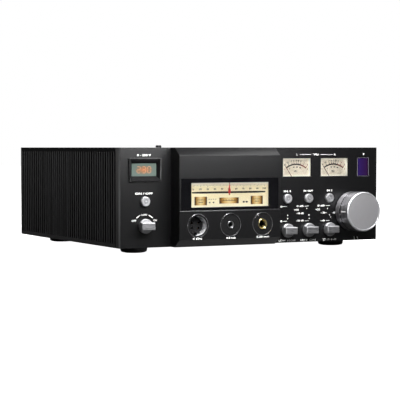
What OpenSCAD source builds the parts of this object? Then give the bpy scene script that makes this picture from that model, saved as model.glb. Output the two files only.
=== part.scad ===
// Desktop headphone amplifier: finned sides, raised dial section, two level meters and a
// large volume knob. Millimetres. Own frame: +Z up, the front faces -Y, origin on the floor
// midway between the four feet.

/* [Case] */
// Width over both finned sides
case_w = 296; // [290:1:308]
// Height without the feet
case_h = 96; // [94:1:104]
// Depth from the flat front face to the rear face
case_d = 262; // [256:1:290]
// Thickness of the flat front panel
front_t = 8; // [7.5:0.25:9]
// Chamfer on the two upright edges of the front panel
front_edge = 1.2; // [0.5:0.1:2]
// Thickness of the top and bottom plates
plate_t = 4; // [3.5:0.25:4.5]
// Thickness of the rear panel
rear_t = 3; // [2.5:0.25:4]
// Shadow gap between the front panel and the rest of the case
panel_gap = 1.6; // [1.2:0.1:2.4]
// Depth of the side fins
fin_depth = 14; // [11:0.5:14.5]
// Distance from one fin to the next
fin_pitch = 5.55; // [5:0.05:7]
// Thickness of one fin
fin_t = 2.3; // [1.6:0.1:2.8]
// Thickness of the plate that carries the fins
sink_base_t = 5; // [4.5:0.25:5.5]

/* [Feet] */
// Outer diameter of a foot
foot_d = 26.6; // [24:0.2:30]
// Height of a foot
foot_h = 7; // [6:0.25:10]
// Foot centre from the side of the case
foot_in_x = 33; // [31:1:40]
// Foot centre from the front and from the rear
foot_in_y = 38; // [30:1:48]
// Diameter of the rubber pad
pad_d = 18; // [14:0.5:20]
// Thickness of the rubber pad
pad_t = 2.2; // [1.8:0.1:2.6]

/* [Raised section] */
// Middle of the raised section from the left side of the case
bezel_from_left = 110.7; // [108:0.1:112]
// Width of the raised section
bezel_w = 112; // [110:0.5:116]
// How far the raised section stands out
bezel_out = 18.5; // [18:0.25:22]
// Depth of its long top and bottom chamfers
bezel_cut_d = 10; // [7:0.5:11]
// Height of its long top and bottom chamfers
bezel_cut_h = 7.5; // [5:0.5:8]
// Thickness of its side walls
bezel_wall = 3; // [2.5:0.1:3.2]
// Thickness of its face
face_t = 4; // [3.8:0.1:4.2]

/* [Dial] */
// Width of the lit dial window
dial_w = 86; // [80:0.5:87]
// Height of the lit dial window
dial_h = 23.6; // [21:0.2:24]
// Middle of the dial window above the case bottom
dial_up = 50.2; // [50:0.1:50.4]
// Height of the dark glass band round the dial
band_h = 30.8; // [30.4:0.1:31.4]
// Width left at each side of the dark glass band
band_edge = 1.8; // [1.6:0.1:2.2]
// Thickness of the dark glass band
mask_t = 1.1; // [0.8:0.1:1.2]

/* [Level meters] */
// Width of a meter window
vu_w = 33; // [30:0.5:33.5]
// Height of a meter window
vu_h = 18.3; // [16:0.1:18.6]
// Right meter from the right side of the case
vu_from_right = 53.1; // [52.5:0.1:54]
// Distance between the two meters
vu_pitch = 45.2; // [44.5:0.1:46]
// Middle of the meter windows above the case bottom
vu_up = 75.9; // [75.6:0.1:76.2]
// Needle pivot below the middle of the window
vu_pivot_down = 17.1; // [16.6:0.1:17.3]
// Needle length from its pivot
needle_len = 21.3; // [19:0.1:22]
// Needle angle at rest from upright
needle_rest = 34.5; // [25:0.5:36]

/* [Left column] */
// Display, button and selector from the left side of the case
left_col = 27; // [26.8:0.1:27.6]
// Width of the display frame
display_w = 34; // [33:0.2:35]
// Height of the display frame
display_h = 22.4; // [21.5:0.1:24]
// Middle of the display above the case bottom
display_up = 74.7; // [73:0.1:76]

/* [Buttons] */
// Diameter of a push button
button_d = 9.4; // [8:0.1:9.8]
// How far a push button stands out
button_out = 2.6; // [2:0.1:4]
// Travel of a push button
button_travel = 1.5; // [0.8:0.1:2]
// Height of the button row above the case bottom
button_up = 44.4; // [43.6:0.1:44.6]

/* [Selectors] */
// Diameter of the round base of a selector knob
selector_d = 14; // [12:0.1:15]
// Length of the grip bar
grip_l = 14; // [12:0.1:16]
// Width of the grip bar
grip_w = 7.2; // [6:0.1:8]
// How far a selector knob stands out
selector_out = 9.2; // [8.6:0.1:11]
// Left selector above the case bottom
left_selector_up = 20.8; // [18:0.1:24]
// Right selectors above the case bottom
right_selector_up = 12.2; // [12:0.1:13.2]
// Rightmost column of controls from the right side of the case
column_from_right = 59.6; // [59.2:0.1:60.4]
// Distance between the columns of controls
column_pitch = 25.1; // [24.8:0.1:25.4]

/* [Volume] */
// Diameter of the volume knob
volume_d = 40.5; // [38:0.1:41]
// How far the volume knob stands out
volume_out = 24; // [23:0.1:27]
// Height of the rear ring of the volume knob
volume_base_h = 8.6; // [7.5:0.1:9.5]
// Volume knob from the right side of the case
volume_from_right = 32.5; // [32.2:0.1:33.5]
// Volume knob above the case bottom
volume_up = 30.5; // [28:0.1:32]
// Diameter of all control shafts
shaft_d = 6; // [5.6:0.05:6.2]

/* [Headphone sockets] */
// Diameter of the round recess of each socket
recess_d = 22.2; // [21:0.1:23]
// Distance between the sockets
socket_pitch = 36; // [35:0.1:36.5]
// Socket row above the case bottom
socket_up = 20.9; // [20.6:0.1:21.6]
// Bore of the large plug socket
large_bore = 6.5; // [6.4:0.05:6.7]
// Bore of the small plug socket
small_bore = 4.5; // [4.45:0.05:4.7]

/* [Aerial] */
// Aerial from the right side of the case
aerial_from_right = 116; // [114:0.5:118]
// How far the aerial stands out behind the rear face
aerial_out = 24; // [22:0.5:28]
// Aerial joint above the case bottom
aerial_up = 51; // [49:0.5:53]
// Length of the aerial above its joint
aerial_len = 47.6; // [40:0.2:49]
// Diameter of the aerial near its joint
aerial_d = 8.4; // [7.6:0.1:8.8]

/* [Fits] */
// Radial gap round a push button
button_gap = 0.25; // [0.15:0.01:0.35]
// Radial gap round a turning shaft
turn_gap = 0.1; // [0.05:0.01:0.2]
// Radial gap between a shaft and the knob fixed on it
knob_gap = 0.02; // [0.01:0.01:0.05]
// Gap round parts dropped into pockets
seat_gap = 0.1; // [0.05:0.01:0.2]
// Radial gap round a screw in its clearance hole
screw_gap = 0.15; // [0.1:0.01:0.25]

/* [Hidden] */
$fn = 32;

z0 = foot_h;
z1 = foot_h + case_h;
x_left = -case_w / 2;
x_right = case_w / 2;
y_front = -case_d / 2;
y_back = y_front + front_t;
y_sink = y_back + panel_gap;
y_rear = case_d / 2;
y_inner = y_rear - rear_t;
x_in = case_w / 2 - fin_depth - sink_base_t;
x_base = x_in + sink_base_t / 2;
z_floor = z0 + plate_t;
z_roof = z1 - plate_t;

// Raised section
bx = x_left + bezel_from_left;
y_face = y_front - bezel_out;
y_face_back = y_face + face_t;
cavity_x = bezel_w / 2 - bezel_wall;
cavity_lo = z0 + bezel_cut_h + 1.5;
cavity_hi = z1 - bezel_cut_h - 1.5;
boss_x = cavity_x - 3.5;
boss_lo = z0 + 13;
boss_hi = z1 - 14;
boss_d = 6;
open_x = boss_x - 4.5;
open_lo = z0 + 12;
open_hi = z1 - 12;

// Dial
dz = z0 + dial_up;
band_z = dz + 0.6;
band_w = bezel_w - 2 * band_edge;
well_w = 98;
well_h = band_h - 2.6;
mask_set = 0.2;
y_mask = y_face + mask_set;
y_lens = y_mask + mask_t;
lens_t = 1;
y_plate = y_lens + lens_t + 1.4;
plate_dial_t = 1.2;
y_lamp = y_plate + plate_dial_t;
lamp_t = 5;
plate_w = 91;
plate_h = 24.9;
rail_z = dz + 18.8;
rail_y = y_face + 10;
rail_d = 2.5;
cord_z = rail_z + 6.5;
cord_r = 2.8;
cord_t = 0.6;
cord_x = 46.5;
pulley_d = 2 * cord_r - cord_t - 0.1;
y_bracket = rail_y + 3.4;
y_motor = y_bracket + 1.2;
motor_d = 8;
bracket_lo = rail_z + 1.7;
bracket_hi = boss_hi - boss_d / 2 - 0.4;
lens_w = 92;
lens_h = 25.6;
tune_x = 31.2;
tune_dz = -5.8;

// Level meters
vu_x = [x_right - vu_from_right - vu_pitch, x_right - vu_from_right];
vu_z = z0 + vu_up;
skin_t = 0.8;
vu_lens_t = 0.6;
y_skin = y_front + skin_t;
vu_case_w = 37;
vu_case_lo = vu_z - 24.9;
vu_case_hi = vu_z + 10.6;
vu_wall = 1.2;
y_vu_back = y_front + 23;
y_needle = y_skin + vu_lens_t + 0.3;
needle_t = 0.3;
y_scale = y_needle + needle_t + 0.3;
scale_t = 0.8;
pivot_z = vu_z - vu_pivot_down;

// Left column
lx = x_left + left_col;
disp_z = z0 + display_up;
disp_out = 1.6;
disp_glass_w = display_w - 8.3;
disp_glass_h = display_h - 10.6;
disp_body_w = display_w - 3.8;
disp_body_h = display_h - 3.8;
disp_slope = 3.6;
disp_module_t = 4.2;

// Remote window
rw_w = 14.8;
rw_h = 20.4;
rw_x = x_right - 17.7;
rw_t = 2;
rw_depth = 2.3;

// Controls
button_x = [lx, x_right - column_from_right - 2 * column_pitch,
    x_right - column_from_right - column_pitch, x_right - column_from_right];
button_z = z0 + button_up;
selector_z = [z0 + left_selector_up, z0 + right_selector_up, z0 + right_selector_up,
    z0 + right_selector_up];
flange_t = 1;
grip_bevel = 0.6;
y_board = y_back + 15;
board_t = 1.6;
switch_w = 13;
y_switch = y_board - 11.5;
tact_h = 5;
y_tact = y_board - tact_h;
y_stem = y_tact - button_travel - 0.05;
y_shaft_end = y_board - 3;
vx = x_right - volume_from_right;
vz = z0 + volume_up;
vol_body = 24.6;
y_vol = y_back + 0.4;
vol_body_t = 18;

// Sockets in the raised section
sz = z0 + socket_up;
recess_t = 1.6;
flange_disc_t = 1.2;
y_seat = y_face + recess_t;
barrel_d = 12;
xlr_out_d = 20.6;
xlr_in_d = 19;
xlr_insert_d = 15.6;
xlr_insert_set = 6;
xlr_contact_d = 2.4;
xlr_contact_r = 4.4;
xlr_contact_l = 7;
xlr_floor_t = 2;
y_xlr_end = y_front - 1;
collar_large_d = 10.2;
collar_small_d = 7;

// Screws
screw_d = 2.9;
screw_head_d = 5.6;
screw_head_h = 1.5;
screw_len = 12;
hole_d = screw_d + 2 * screw_gap;
sink_screw_y = [y_sink + 18, (y_sink + y_inner) / 2, y_inner - 18];
rear_screw_z = [z0 + 18, z1 - 18];
foot_x = case_w / 2 - foot_in_x;
foot_y = case_d / 2 - foot_in_y;

// Inside
standoff_d = 5.5;
bolt_d = 6;
bolt_head_d = 11;
bolt_head_h = 2.4;
washer_d = 56;
toroid_d = 92;
toroid_h = 38;
toroid_hole = 26;
toroid_edge = 8;
tx = toroid_edge + toroid_d / 2 - x_in;
ty = y_inner - 74;
board_z = z_floor + 7;
board_edge = 8;
board_gap = 16;
power_board_w = 95;
power_right = board_edge - x_in + power_board_w;
main_left = tx + toroid_d / 2 + 9;
power_board = [board_edge - x_in, power_right, y_board + 12, y_board + 92];
amp_board = [power_right + board_gap, x_in - board_edge, y_board + 12, y_board + 110];
main_board = [main_left, x_in - board_edge, y_inner - 98, y_inner - 2];
amp_w = amp_board[1] - amp_board[0];
relay_w = 16;
relay_h = 10;
relay_pitch = (amp_w - relay_w - 37) / 3;
chip_w = 14;
chip_h = 1.4;
chip_pitch = (amp_w - chip_w - 49) / 2;
receiver_w = 40;
receiver_h = 6;
power_chip_w = 16;
power_chip_h = 21;
power_chip_pitch = 26;
large_cap_d = 25;
large_cap_h = 38;
large_cap_pitch = 30;
small_cap_d = 12.5;
small_cap_h = 22;
small_cap_pitch = (amp_w - small_cap_d - 46.5) / 3;
vent_w = 3;
vent_pitch = 7;
vent_count = 12;
vent_l = 76;
vent_span = (vent_count - 1) * vent_pitch + vent_w;
vent_x = amp_board[0] + 26;
vent_y = y_board + 26;

// Rear panel
inlet_x = 24 - x_in;
inlet_z = z0 + 33;
inlet_w = 27;
inlet_h = 47;
rocker_z = inlet_z + 13;
plug_z = inlet_z - 10;
rocker_y = y_rear - 2;
rocker_tilt = 7;
rocker_pin_d = 2;
plug_w = 22.4;
plug_h = 15.4;
blade_w = 2;
blade_h = 4;
blade_pitch = 7;
blade_dz = 2;
rca_d = 8.2;
rca_flange_d = 11;
xlr_pin_d = 2.4;
xlr_pin_r = 4.1;
rca_x = inlet_x + 53;
rca_z = z0 + 28;
rca_step_x = 20;
rca_step_z = 25;
coax_x = x_in - 67;
rca_at = [[rca_x, rca_z], [rca_x + rca_step_x, rca_z], [rca_x, rca_z + rca_step_z],
    [rca_x + rca_step_x, rca_z + rca_step_z], [coax_x, z0 + 21]];
usb_x = x_in - 27;
usb_w = 12;
usb_h = 11;
usb_z = board_z + board_t + usb_h / 2;
optical_x = x_in - 47;
optical_w = 10;
optical_z = board_z + board_t + optical_w / 2;
xlr_x = [x_in - 64, x_in - 32];
xlr_z = z0 + 66;
xlr_body_d = 23;
ax = x_right - aerial_from_right;
az = z0 + aerial_up;
aerial_pivot_y = y_rear + aerial_out - aerial_d / 2;
aerial_socket_d = 6.2;
aerial_nut_d = 10.4;
fork_w = 9.2;
fork_gap = 0.15;
tongue_t = 4;
hinge_pin_d = 3.2;

module block(xa, xb, ya, yb, za, zb) {
    translate([xa, ya, za]) cube([xb - xa, yb - ya, zb - za]);
}

module slab(x, z, w, h, ya, yb) {
    translate([x - w / 2, ya, z - h / 2]) cube([w, yb - ya, h]);
}

module rod(x, z, d, ya, yb) {
    translate([x, ya, z]) rotate([-90, 0, 0]) cylinder(d = d, h = yb - ya);
}

module post(x, y, d, za, zb) {
    translate([x, y, za]) cylinder(d = d, h = zb - za);
}

module tapered(w_start, h_start, w_end, h_end, t) {
    w = max(w_start, w_end);
    h = max(h_start, h_end);
    intersection() {
        translate([0, h / 2, 0]) rotate([90, 0, 0]) linear_extrude(height = h)
            polygon([[-w_start / 2, 0], [w_start / 2, 0], [w_end / 2, t], [-w_end / 2, t]]);
        translate([-w / 2, 0, 0]) rotate([90, 0, 90]) linear_extrude(height = w)
            polygon([[-h_start / 2, 0], [h_start / 2, 0], [h_end / 2, t], [-h_end / 2, t]]);
    }
}

module screw() {
    difference() {
        union() {
            translate([0, 0, -screw_head_h])
                cylinder(d1 = screw_d, d2 = screw_head_d, h = screw_head_h, $fn = 16);
            translate([0, 0, -screw_len])
                cylinder(d = screw_d, h = screw_len - screw_head_h, $fn = 16);
        }
        translate([0, 0, -1]) cylinder(d = 2.3, h = 2, $fn = 6);
    }
}

module screw_hole() {
    translate([0, 0, -screw_head_h])
        cylinder(d1 = hole_d, d2 = screw_head_d + 2 * screw_gap, h = screw_head_h);
    cylinder(d = screw_head_d + 2 * screw_gap, h = 1);
    translate([0, 0, -screw_len - 0.6]) cylinder(d = hole_d, h = screw_len);
}

module at_top_screws() {
    for (s = [-1, 1], y = sink_screw_y)
        translate([s * x_base, y, z1]) children();
}

module at_bottom_screws() {
    for (s = [-1, 1], y = sink_screw_y)
        translate([s * x_base, y, z0]) rotate([180, 0, 0]) children();
}

module at_rear_screws() {
    for (s = [-1, 1], z = rear_screw_z)
        translate([s * x_base, y_rear, z]) rotate([-90, 0, 0]) children();
}

module at_foot_screws() {
    for (sx = [-1, 1], sy = [-1, 1])
        translate([sx * foot_x, sy * foot_y, pad_t]) rotate([180, 0, 0]) children();
}

module at_bezel_screws() {
    for (s = [-1, 1], z = [boss_lo, boss_hi])
        translate([bx + s * boss_x, y_back, z]) rotate([-90, 0, 0]) children();
}

module front_panel() color("#232325") {
    difference() {
        union() {
            translate([0, 0, z0]) linear_extrude(height = case_h)
                polygon([
                    [x_left, y_back], [x_left, y_front + front_edge],
                    [x_left + front_edge, y_front], [x_right - front_edge, y_front],
                    [x_right, y_front + front_edge], [x_right, y_back]
                ]);
            for (s = [-1, 1], z = [z0 + 16, z1 - 5])
                rod(s * x_base, z, 4, y_back - 0.5, y_sink);
        }
        block(bx - open_x, bx + open_x, y_front - 1, y_back + 1, open_lo, open_hi);
        slab(lx, disp_z, disp_body_w + 2 * seat_gap, disp_body_h + 2 * seat_gap,
            y_front - 1, y_back + 1);
        for (x = button_x)
            rod(x, button_z, button_d + 2 * button_gap, y_front - 1, y_back + 1);
        for (i = [0:3])
            rod(button_x[i], selector_z[i], shaft_d + 2 * turn_gap + 1,
                y_front - 1, y_back + 1);
        rod(vx, vz, shaft_d + 4, y_front - 1, y_back + 1);
        for (x = vu_x) {
            slab(x, vu_z, vu_w, vu_h, y_front - 1, y_back);
            block(x - vu_case_w / 2 - seat_gap, x + vu_case_w / 2 + seat_gap,
                y_skin, y_back + 1, vu_case_lo - seat_gap, vu_case_hi + seat_gap);
        }
        slab(rw_x, vu_z, rw_w, rw_h, y_front - 1, y_front + rw_depth);
        slab(rw_x - 4.5, vu_z, 5, 9, y_front, y_back + 1);
        at_bezel_screws() screw_hole();
    }
}

module centre_bezel() color("#2a2a2c") {
    difference() {
        union() {
            difference() {
                translate([bx - bezel_w / 2, 0, 0]) rotate([90, 0, 90])
                    linear_extrude(height = bezel_w)
                        polygon([
                            [y_front, z0], [y_front, z1],
                            [y_face + bezel_cut_d, z1], [y_face, z1 - bezel_cut_h],
                            [y_face, z0 + bezel_cut_h], [y_face + bezel_cut_d, z0]
                        ]);
                block(bx - cavity_x, bx + cavity_x, y_face_back, y_front + 1,
                    cavity_lo, cavity_hi);
            }
            for (s = [-1, 1], z = [boss_lo, boss_hi])
                rod(bx + s * boss_x, z, boss_d, y_face_back - 0.5, y_front);
        }
        slab(bx, band_z, band_w, band_h, y_face - 1, y_lens);
        slab(bx, band_z, well_w, well_h, y_face - 1, y_face_back + 1);
        for (i = [-1:1])
            rod(bx + i * socket_pitch, sz, recess_d, y_face - 1, y_seat);
        rod(bx - socket_pitch, sz, xlr_out_d + 2 * seat_gap, y_face, y_face_back + 1);
        for (i = [0, 1])
            rod(bx + i * socket_pitch, sz, barrel_d + 2 * seat_gap, y_face, y_face_back + 1);
        at_bezel_screws() screw_hole();
    }
}

module dial_mask() color("#0a0a0c") {
    difference() {
        slab(bx, band_z, band_w - 2 * seat_gap, band_h - 2 * seat_gap, y_mask, y_lens);
        slab(bx, dz, dial_w, dial_h, y_mask - 1, y_lens + 1);
    }
}

module dial_lens() color("#cfd6d8", 0.4) {
    slab(bx, dz, lens_w, lens_h, y_lens, y_lens + lens_t);
}

module tuning_openings(extra) {
    for (s = [-1, 1])
        slab(bx + s * tune_x, dz + tune_dz, 13.6 + extra, 8.2 + extra,
            y_plate - extra, y_lamp + extra);
    slab(bx, dz + tune_dz, 21.6 + extra, 5.8 + extra, y_plate - extra, y_lamp + extra);
}

module dial_plate() color("#f6e7bd") {
    difference() {
        slab(bx, dz, plate_w, plate_h, y_plate, y_lamp);
        tuning_openings(2 * seat_gap);
    }
}

module tuning_windows() color("#c98a2c") {
    intersection() {
        tuning_openings(0);
        slab(bx, dz, plate_w, plate_h, y_plate + 0.2, y_lamp);
    }
}

module dial_lamp_box() color("#e8e8e4") {
    slab(bx, dz, plate_w, plate_h, y_lamp, y_lamp + lamp_t);
    for (s = [-1, 1])
        slab(bx + s * (plate_w / 2 + cavity_x) / 2, dz, cavity_x - plate_w / 2 - 0.6, 18,
            y_face_back, y_lamp + lamp_t);
    for (s = [-1, 1])
        slab(bx + s * (plate_w / 2 + 0.2), dz, 1.6, 18, y_lamp + 0.4, y_lamp + lamp_t);
}

module dial_pointer() color("#c1201c") {
    difference() {
        slab(bx, rail_z + 1.1, 8, 7.2, rail_y - 3, rail_y + 3);
        translate([bx - 5, rail_y, rail_z]) rotate([0, 90, 0])
            cylinder(d = rail_d + 2 * turn_gap, h = 10);
        slab(bx, cord_z - cord_r, 10, cord_t + 0.6, rail_y - 0.7, rail_y + 0.7);
    }
    slab(bx, dz + 14.8, 3, 3.6, rail_y - 3, rail_y + 1);
    slab(bx, dz + 13.7, 3, 1.2, y_plate - 0.8, rail_y + 1);
    slab(bx, dz + 11.7, 0.6, 5, y_plate - 0.8, y_plate - 0.4);
    slab(bx, dz + 4.4, 1.1, 9.8, y_plate - 0.8, y_plate - 0.4);
}

module pointer_rail() color("#9a9a9a") {
    translate([bx - cavity_x + 0.5, rail_y, rail_z]) rotate([0, 90, 0])
        cylinder(d = rail_d, h = 2 * cavity_x - 1);
    for (s = [-1, 1])
        slab(bx + s * (cavity_x - 1.5), rail_z, 3, 6.4, rail_y - 3, rail_y + 3);
    rod(bx + cord_x, cord_z, pulley_d, rail_y - 1.5, y_bracket + 0.2);
    for (s = [-1, 1]) {
        slab(bx + s * (cavity_x - 1.5), rail_z + 4, 3, 8, rail_y + 1, y_motor);
        difference() {
            slab(bx + s * (cavity_x - 6), (bracket_lo + bracket_hi) / 2, 12,
                bracket_hi - bracket_lo, y_bracket, y_motor);
            if (s < 0) rod(bx - cord_x, cord_z, 2.6, rail_y, y_motor + 1);
        }
    }
}

module pointer_drive() color("#3a3a3a") {
    rod(bx - cord_x, cord_z, motor_d, y_motor, y_front - 0.4);
    rod(bx - cord_x, cord_z, 2, rail_y - 1, y_motor + 0.5);
    rod(bx - cord_x, cord_z, pulley_d, rail_y - 1.5, rail_y + 1.2);
    difference() {
        union() {
            slab(bx, cord_z, 2 * cord_x, 2 * cord_r + cord_t, rail_y - cord_t / 2,
                rail_y + cord_t / 2);
            for (s = [-1, 1])
                rod(bx + s * cord_x, cord_z, 2 * cord_r + cord_t, rail_y - cord_t / 2,
                    rail_y + cord_t / 2);
        }
        slab(bx, cord_z, 2 * cord_x, 2 * cord_r - cord_t, rail_y - 1, rail_y + 1);
        for (s = [-1, 1])
            rod(bx + s * cord_x, cord_z, 2 * cord_r - cord_t, rail_y - 1, rail_y + 1);
    }
}

module display_frame() color("#1b1b1d") {
    difference() {
        union() {
            slab(lx, disp_z, display_w, display_h, y_front - disp_out, y_front);
            slab(lx, disp_z, disp_body_w, disp_body_h, y_front - 0.5, y_back - 1.5);
        }
        translate([lx, y_front - disp_out, disp_z]) rotate([-90, 0, 0])
            tapered(display_w - 2, display_h - 2, disp_glass_w, disp_glass_h, disp_slope);
        slab(lx, disp_z, disp_glass_w, disp_glass_h, y_front, y_front + 3);
        slab(lx, disp_z, disp_glass_w + 2.4, disp_glass_h + 2.4,
            y_front - disp_out + disp_slope, y_back + 1);
    }
}

module volt_display() color("#9aa89c") {
    slab(lx, disp_z, disp_glass_w + 2.4 - 2 * seat_gap, disp_glass_h + 2.4 - 2 * seat_gap,
        y_front - disp_out + disp_slope, y_front - disp_out + disp_slope + disp_module_t);
}

module vu_cases() color("#161616") {
    for (x = vu_x) {
        difference() {
            block(x - vu_case_w / 2, x + vu_case_w / 2, y_skin, y_vu_back,
                vu_case_lo, vu_case_hi);
            block(x - vu_case_w / 2 + vu_wall, x + vu_case_w / 2 - vu_wall,
                y_skin - 1, y_vu_back - 2, vu_case_lo + vu_wall, vu_case_hi - vu_wall);
        }
        rod(x, pivot_z, 12, y_needle + 5, y_vu_back - 2);
        rod(x, pivot_z, 1, y_needle - 0.1, y_needle + 5.5);
    }
}

module vu_scales() color("#efe6c6") {
    for (x = vu_x)
        block(x - vu_case_w / 2 + vu_wall, x + vu_case_w / 2 - vu_wall, y_scale,
            y_scale + scale_t, vu_z - vu_h / 2 - 2.6, vu_case_hi - vu_wall);
}

module vu_lenses() color("#d8e0e2", 0.35) {
    for (x = vu_x)
        block(x - vu_case_w / 2 + vu_wall, x + vu_case_w / 2 - vu_wall, y_skin,
            y_skin + vu_lens_t, vu_z - vu_h / 2 - 1.2, vu_case_hi - vu_wall);
}

module vu_needle(x) {
    difference() {
        union() {
            translate([x, y_needle, pivot_z]) rotate([0, -needle_rest, 0])
                translate([-0.25, 0, -4]) cube([0.5, needle_t, needle_len + 4]);
            rod(x, pivot_z, 4.4, y_needle, y_needle + 3);
        }
        rod(x, pivot_z, 1 + 2 * turn_gap, y_needle - 1, y_needle + 4);
    }
}

module vu_needle_left() color("#7d1f16") {
    vu_needle(vu_x[0]);
}

module vu_needle_right() color("#7d1f16") {
    vu_needle(vu_x[1]);
}

module remote_window() color("#2c1850") {
    slab(rw_x, vu_z, rw_w - 2 * seat_gap, rw_h - 2 * seat_gap,
        y_front + rw_depth - rw_t, y_front + rw_depth);
}

module button(i) {
    x = button_x[i];
    translate([x, y_front, button_z]) rotate([90, 0, 0]) rotate_extrude()
        polygon([
            [0, button_out - 0.3], [2, button_out - 0.3], [2.3, button_out],
            [button_d / 2 - 0.5, button_out], [button_d / 2, button_out - 0.5],
            [button_d / 2, -front_t - 0.2], [button_d / 2 + 0.8, -front_t - 0.2],
            [button_d / 2 + 0.8, -front_t - 0.2 - flange_t], [1.5, -front_t - 0.2 - flange_t],
            [1.5, -(y_stem - y_front)], [0, -(y_stem - y_front)]
        ]);
}

module button_1() color("#c4c4c6") {
    button(0);
}

module button_2() color("#c4c4c6") {
    button(1);
}

module button_3() color("#c4c4c6") {
    button(2);
}

module button_4() color("#c4c4c6") {
    button(3);
}

module selector(i) {
    bore = shaft_d / 2 + knob_gap;
    translate([button_x[i], y_front, selector_z[i]]) rotate([90, 0, 0]) difference() {
        union() {
            rotate_extrude()
                polygon([
                    [0, 0.5], [selector_d / 2 - 0.3, 0.5], [selector_d / 2, 0.8],
                    [selector_d / 2, 2.9], [selector_d / 2 - 0.5, 3.4], [0, 3.4]
                ]);
            translate([-grip_l / 2, -grip_w / 2, 3.2])
                cube([grip_l, grip_w, selector_out - 3.2 - grip_bevel]);
            translate([0, 0, selector_out - grip_bevel])
                tapered(grip_l, grip_w, grip_l - 2 * grip_bevel, grip_w - 2 * grip_bevel,
                    grip_bevel);
        }
        translate([0, 0, -1]) cylinder(r = bore, h = selector_out - 1.4);
    }
}

module selector_1() color("#b9b9bc") {
    selector(0);
}

module selector_2() color("#b9b9bc") {
    selector(1);
}

module selector_3() color("#b9b9bc") {
    selector(2);
}

module selector_4() color("#b9b9bc") {
    selector(3);
}

module shaft(i) {
    rod(button_x[i], selector_z[i], shaft_d, y_front - selector_out + 3, y_shaft_end);
}

module shaft_1() color("#8f8f92") {
    shaft(0);
}

module shaft_2() color("#8f8f92") {
    shaft(1);
}

module shaft_3() color("#8f8f92") {
    shaft(2);
}

module shaft_4() color("#8f8f92") {
    shaft(3);
}

module rotary_switches() color("#2f3d4a") {
    for (i = [0:3]) {
        difference() {
            union() {
                slab(button_x[i], selector_z[i], switch_w, switch_w, y_switch, y_board);
                rod(button_x[i], selector_z[i], 9.4, y_back + 0.4, y_switch + 0.5);
            }
            rod(button_x[i], selector_z[i], shaft_d + 2 * turn_gap, y_back, y_board - 2);
        }
    }
}

module board_switches() color("#1d1d1d") {
    for (x = button_x)
        slab(x, button_z, 7, 7, y_tact, y_board);
    slab(rw_x - 4.5, vu_z, 4.6, 8, y_front + rw_depth, y_back + 0.5);
}

module volume_knob() color("#98979a") {
    r = volume_d / 2;
    difference() {
        translate([vx, y_front, vz]) rotate([90, 0, 0]) rotate_extrude($fn = 64)
            polygon([
                [0, volume_out - 5], [shaft_d / 2 + knob_gap, volume_out - 5],
                [shaft_d / 2 + knob_gap, 0.8], [r - 0.6, 0.8], [r, 1.4],
                [r, volume_base_h], [r - 1, volume_base_h + 0.5],
                [r - 1, volume_base_h + 1.3], [r, volume_base_h + 1.8],
                [r, volume_out - 0.9], [r - 0.9, volume_out],
                [r - 1.6, volume_out], [r - 1.9, volume_out - 0.3], [0, volume_out - 0.3]
            ]);
        translate([vx - r - 1, y_front - volume_out + 3.8, vz - 0.4])
            cube([1.35, volume_out - volume_base_h - 6.4, 0.8]);
    }
}

module volume_shaft() color("#8f8f92") {
    rod(vx, vz, shaft_d, y_front - volume_out + 5.4, y_vol + vol_body_t - 4);
}

module volume_control() color("#2a4a3a") {
    difference() {
        union() {
            slab(vx, vz, vol_body, vol_body, y_vol, y_vol + vol_body_t);
            rod(vx, vz, shaft_d + 3.6, y_front + 0.5, y_vol + 0.5);
        }
        rod(vx, vz, shaft_d + 2 * turn_gap, y_front, y_vol + vol_body_t - 3);
    }
}

module xlr_socket() color("#b8b8ba") {
    x = bx - socket_pitch;
    difference() {
        union() {
            rod(x, sz, recess_d - 0.6, y_seat - flange_disc_t, y_seat);
            rod(x, sz, xlr_out_d, y_seat - 0.5, y_xlr_end);
        }
        rod(x, sz, xlr_in_d, y_face - 1, y_xlr_end - xlr_floor_t);
    }
}

module xlr_insert() color("#141416") {
    x = bx - socket_pitch;
    y_insert = y_face + xlr_insert_set;
    difference() {
        rod(x, sz, xlr_insert_d, y_insert, y_xlr_end - xlr_floor_t);
        for (a = [35, 145, 215, 325])
            rod(x + xlr_contact_r * cos(a), sz + xlr_contact_r * sin(a), xlr_contact_d,
                y_insert - 1, y_insert + xlr_contact_l);
        slab(x, sz - xlr_insert_d / 2, 2.4, 2.4, y_face, y_front);
    }
}

module phone_jacks() color("#151517") {
    for (i = [0, 1]) {
        bore = i == 0 ? collar_small_d : collar_large_d;
        difference() {
            union() {
                rod(bx + i * socket_pitch, sz, recess_d - 0.6, y_seat - flange_disc_t, y_seat);
                rod(bx + i * socket_pitch, sz, barrel_d, y_seat - 0.5, y_face + 30);
            }
            rod(bx + i * socket_pitch, sz, bore + 2 * seat_gap, y_face - 1, y_face + 8);
            rod(bx + i * socket_pitch, sz, i == 0 ? small_bore + 0.4 : large_bore + 0.4,
                y_face, y_face + 28);
        }
    }
}

module jack_collars() color("#b08a3c") {
    for (i = [0, 1]) {
        outer = i == 0 ? collar_small_d : collar_large_d;
        difference() {
            rod(bx + i * socket_pitch, sz, outer, y_face - 0.4, y_face + 7.8);
            rod(bx + i * socket_pitch, sz, i == 0 ? small_bore : large_bore,
                y_face - 1, y_face + 9);
        }
    }
}

module heatsink(s) {
    sink_l = y_inner - y_sink;
    count = floor((sink_l - fin_t) / fin_pitch) + 1;
    start = y_sink + (sink_l - (count - 1) * fin_pitch - fin_t) / 2;
    difference() {
        translate([0, 0, z_floor]) linear_extrude(height = z_roof - z_floor) union() {
            translate([s > 0 ? x_in : -x_in - sink_base_t, y_sink])
                square([sink_base_t, sink_l]);
            for (i = [0:count - 1])
                translate([s > 0 ? x_in + sink_base_t - 0.5 : x_left, start + i * fin_pitch])
                    square([fin_depth + 0.5, fin_t]);
        }
        at_top_screws() screw_hole();
        at_bottom_screws() screw_hole();
        at_rear_screws() screw_hole();
    }
}

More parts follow.
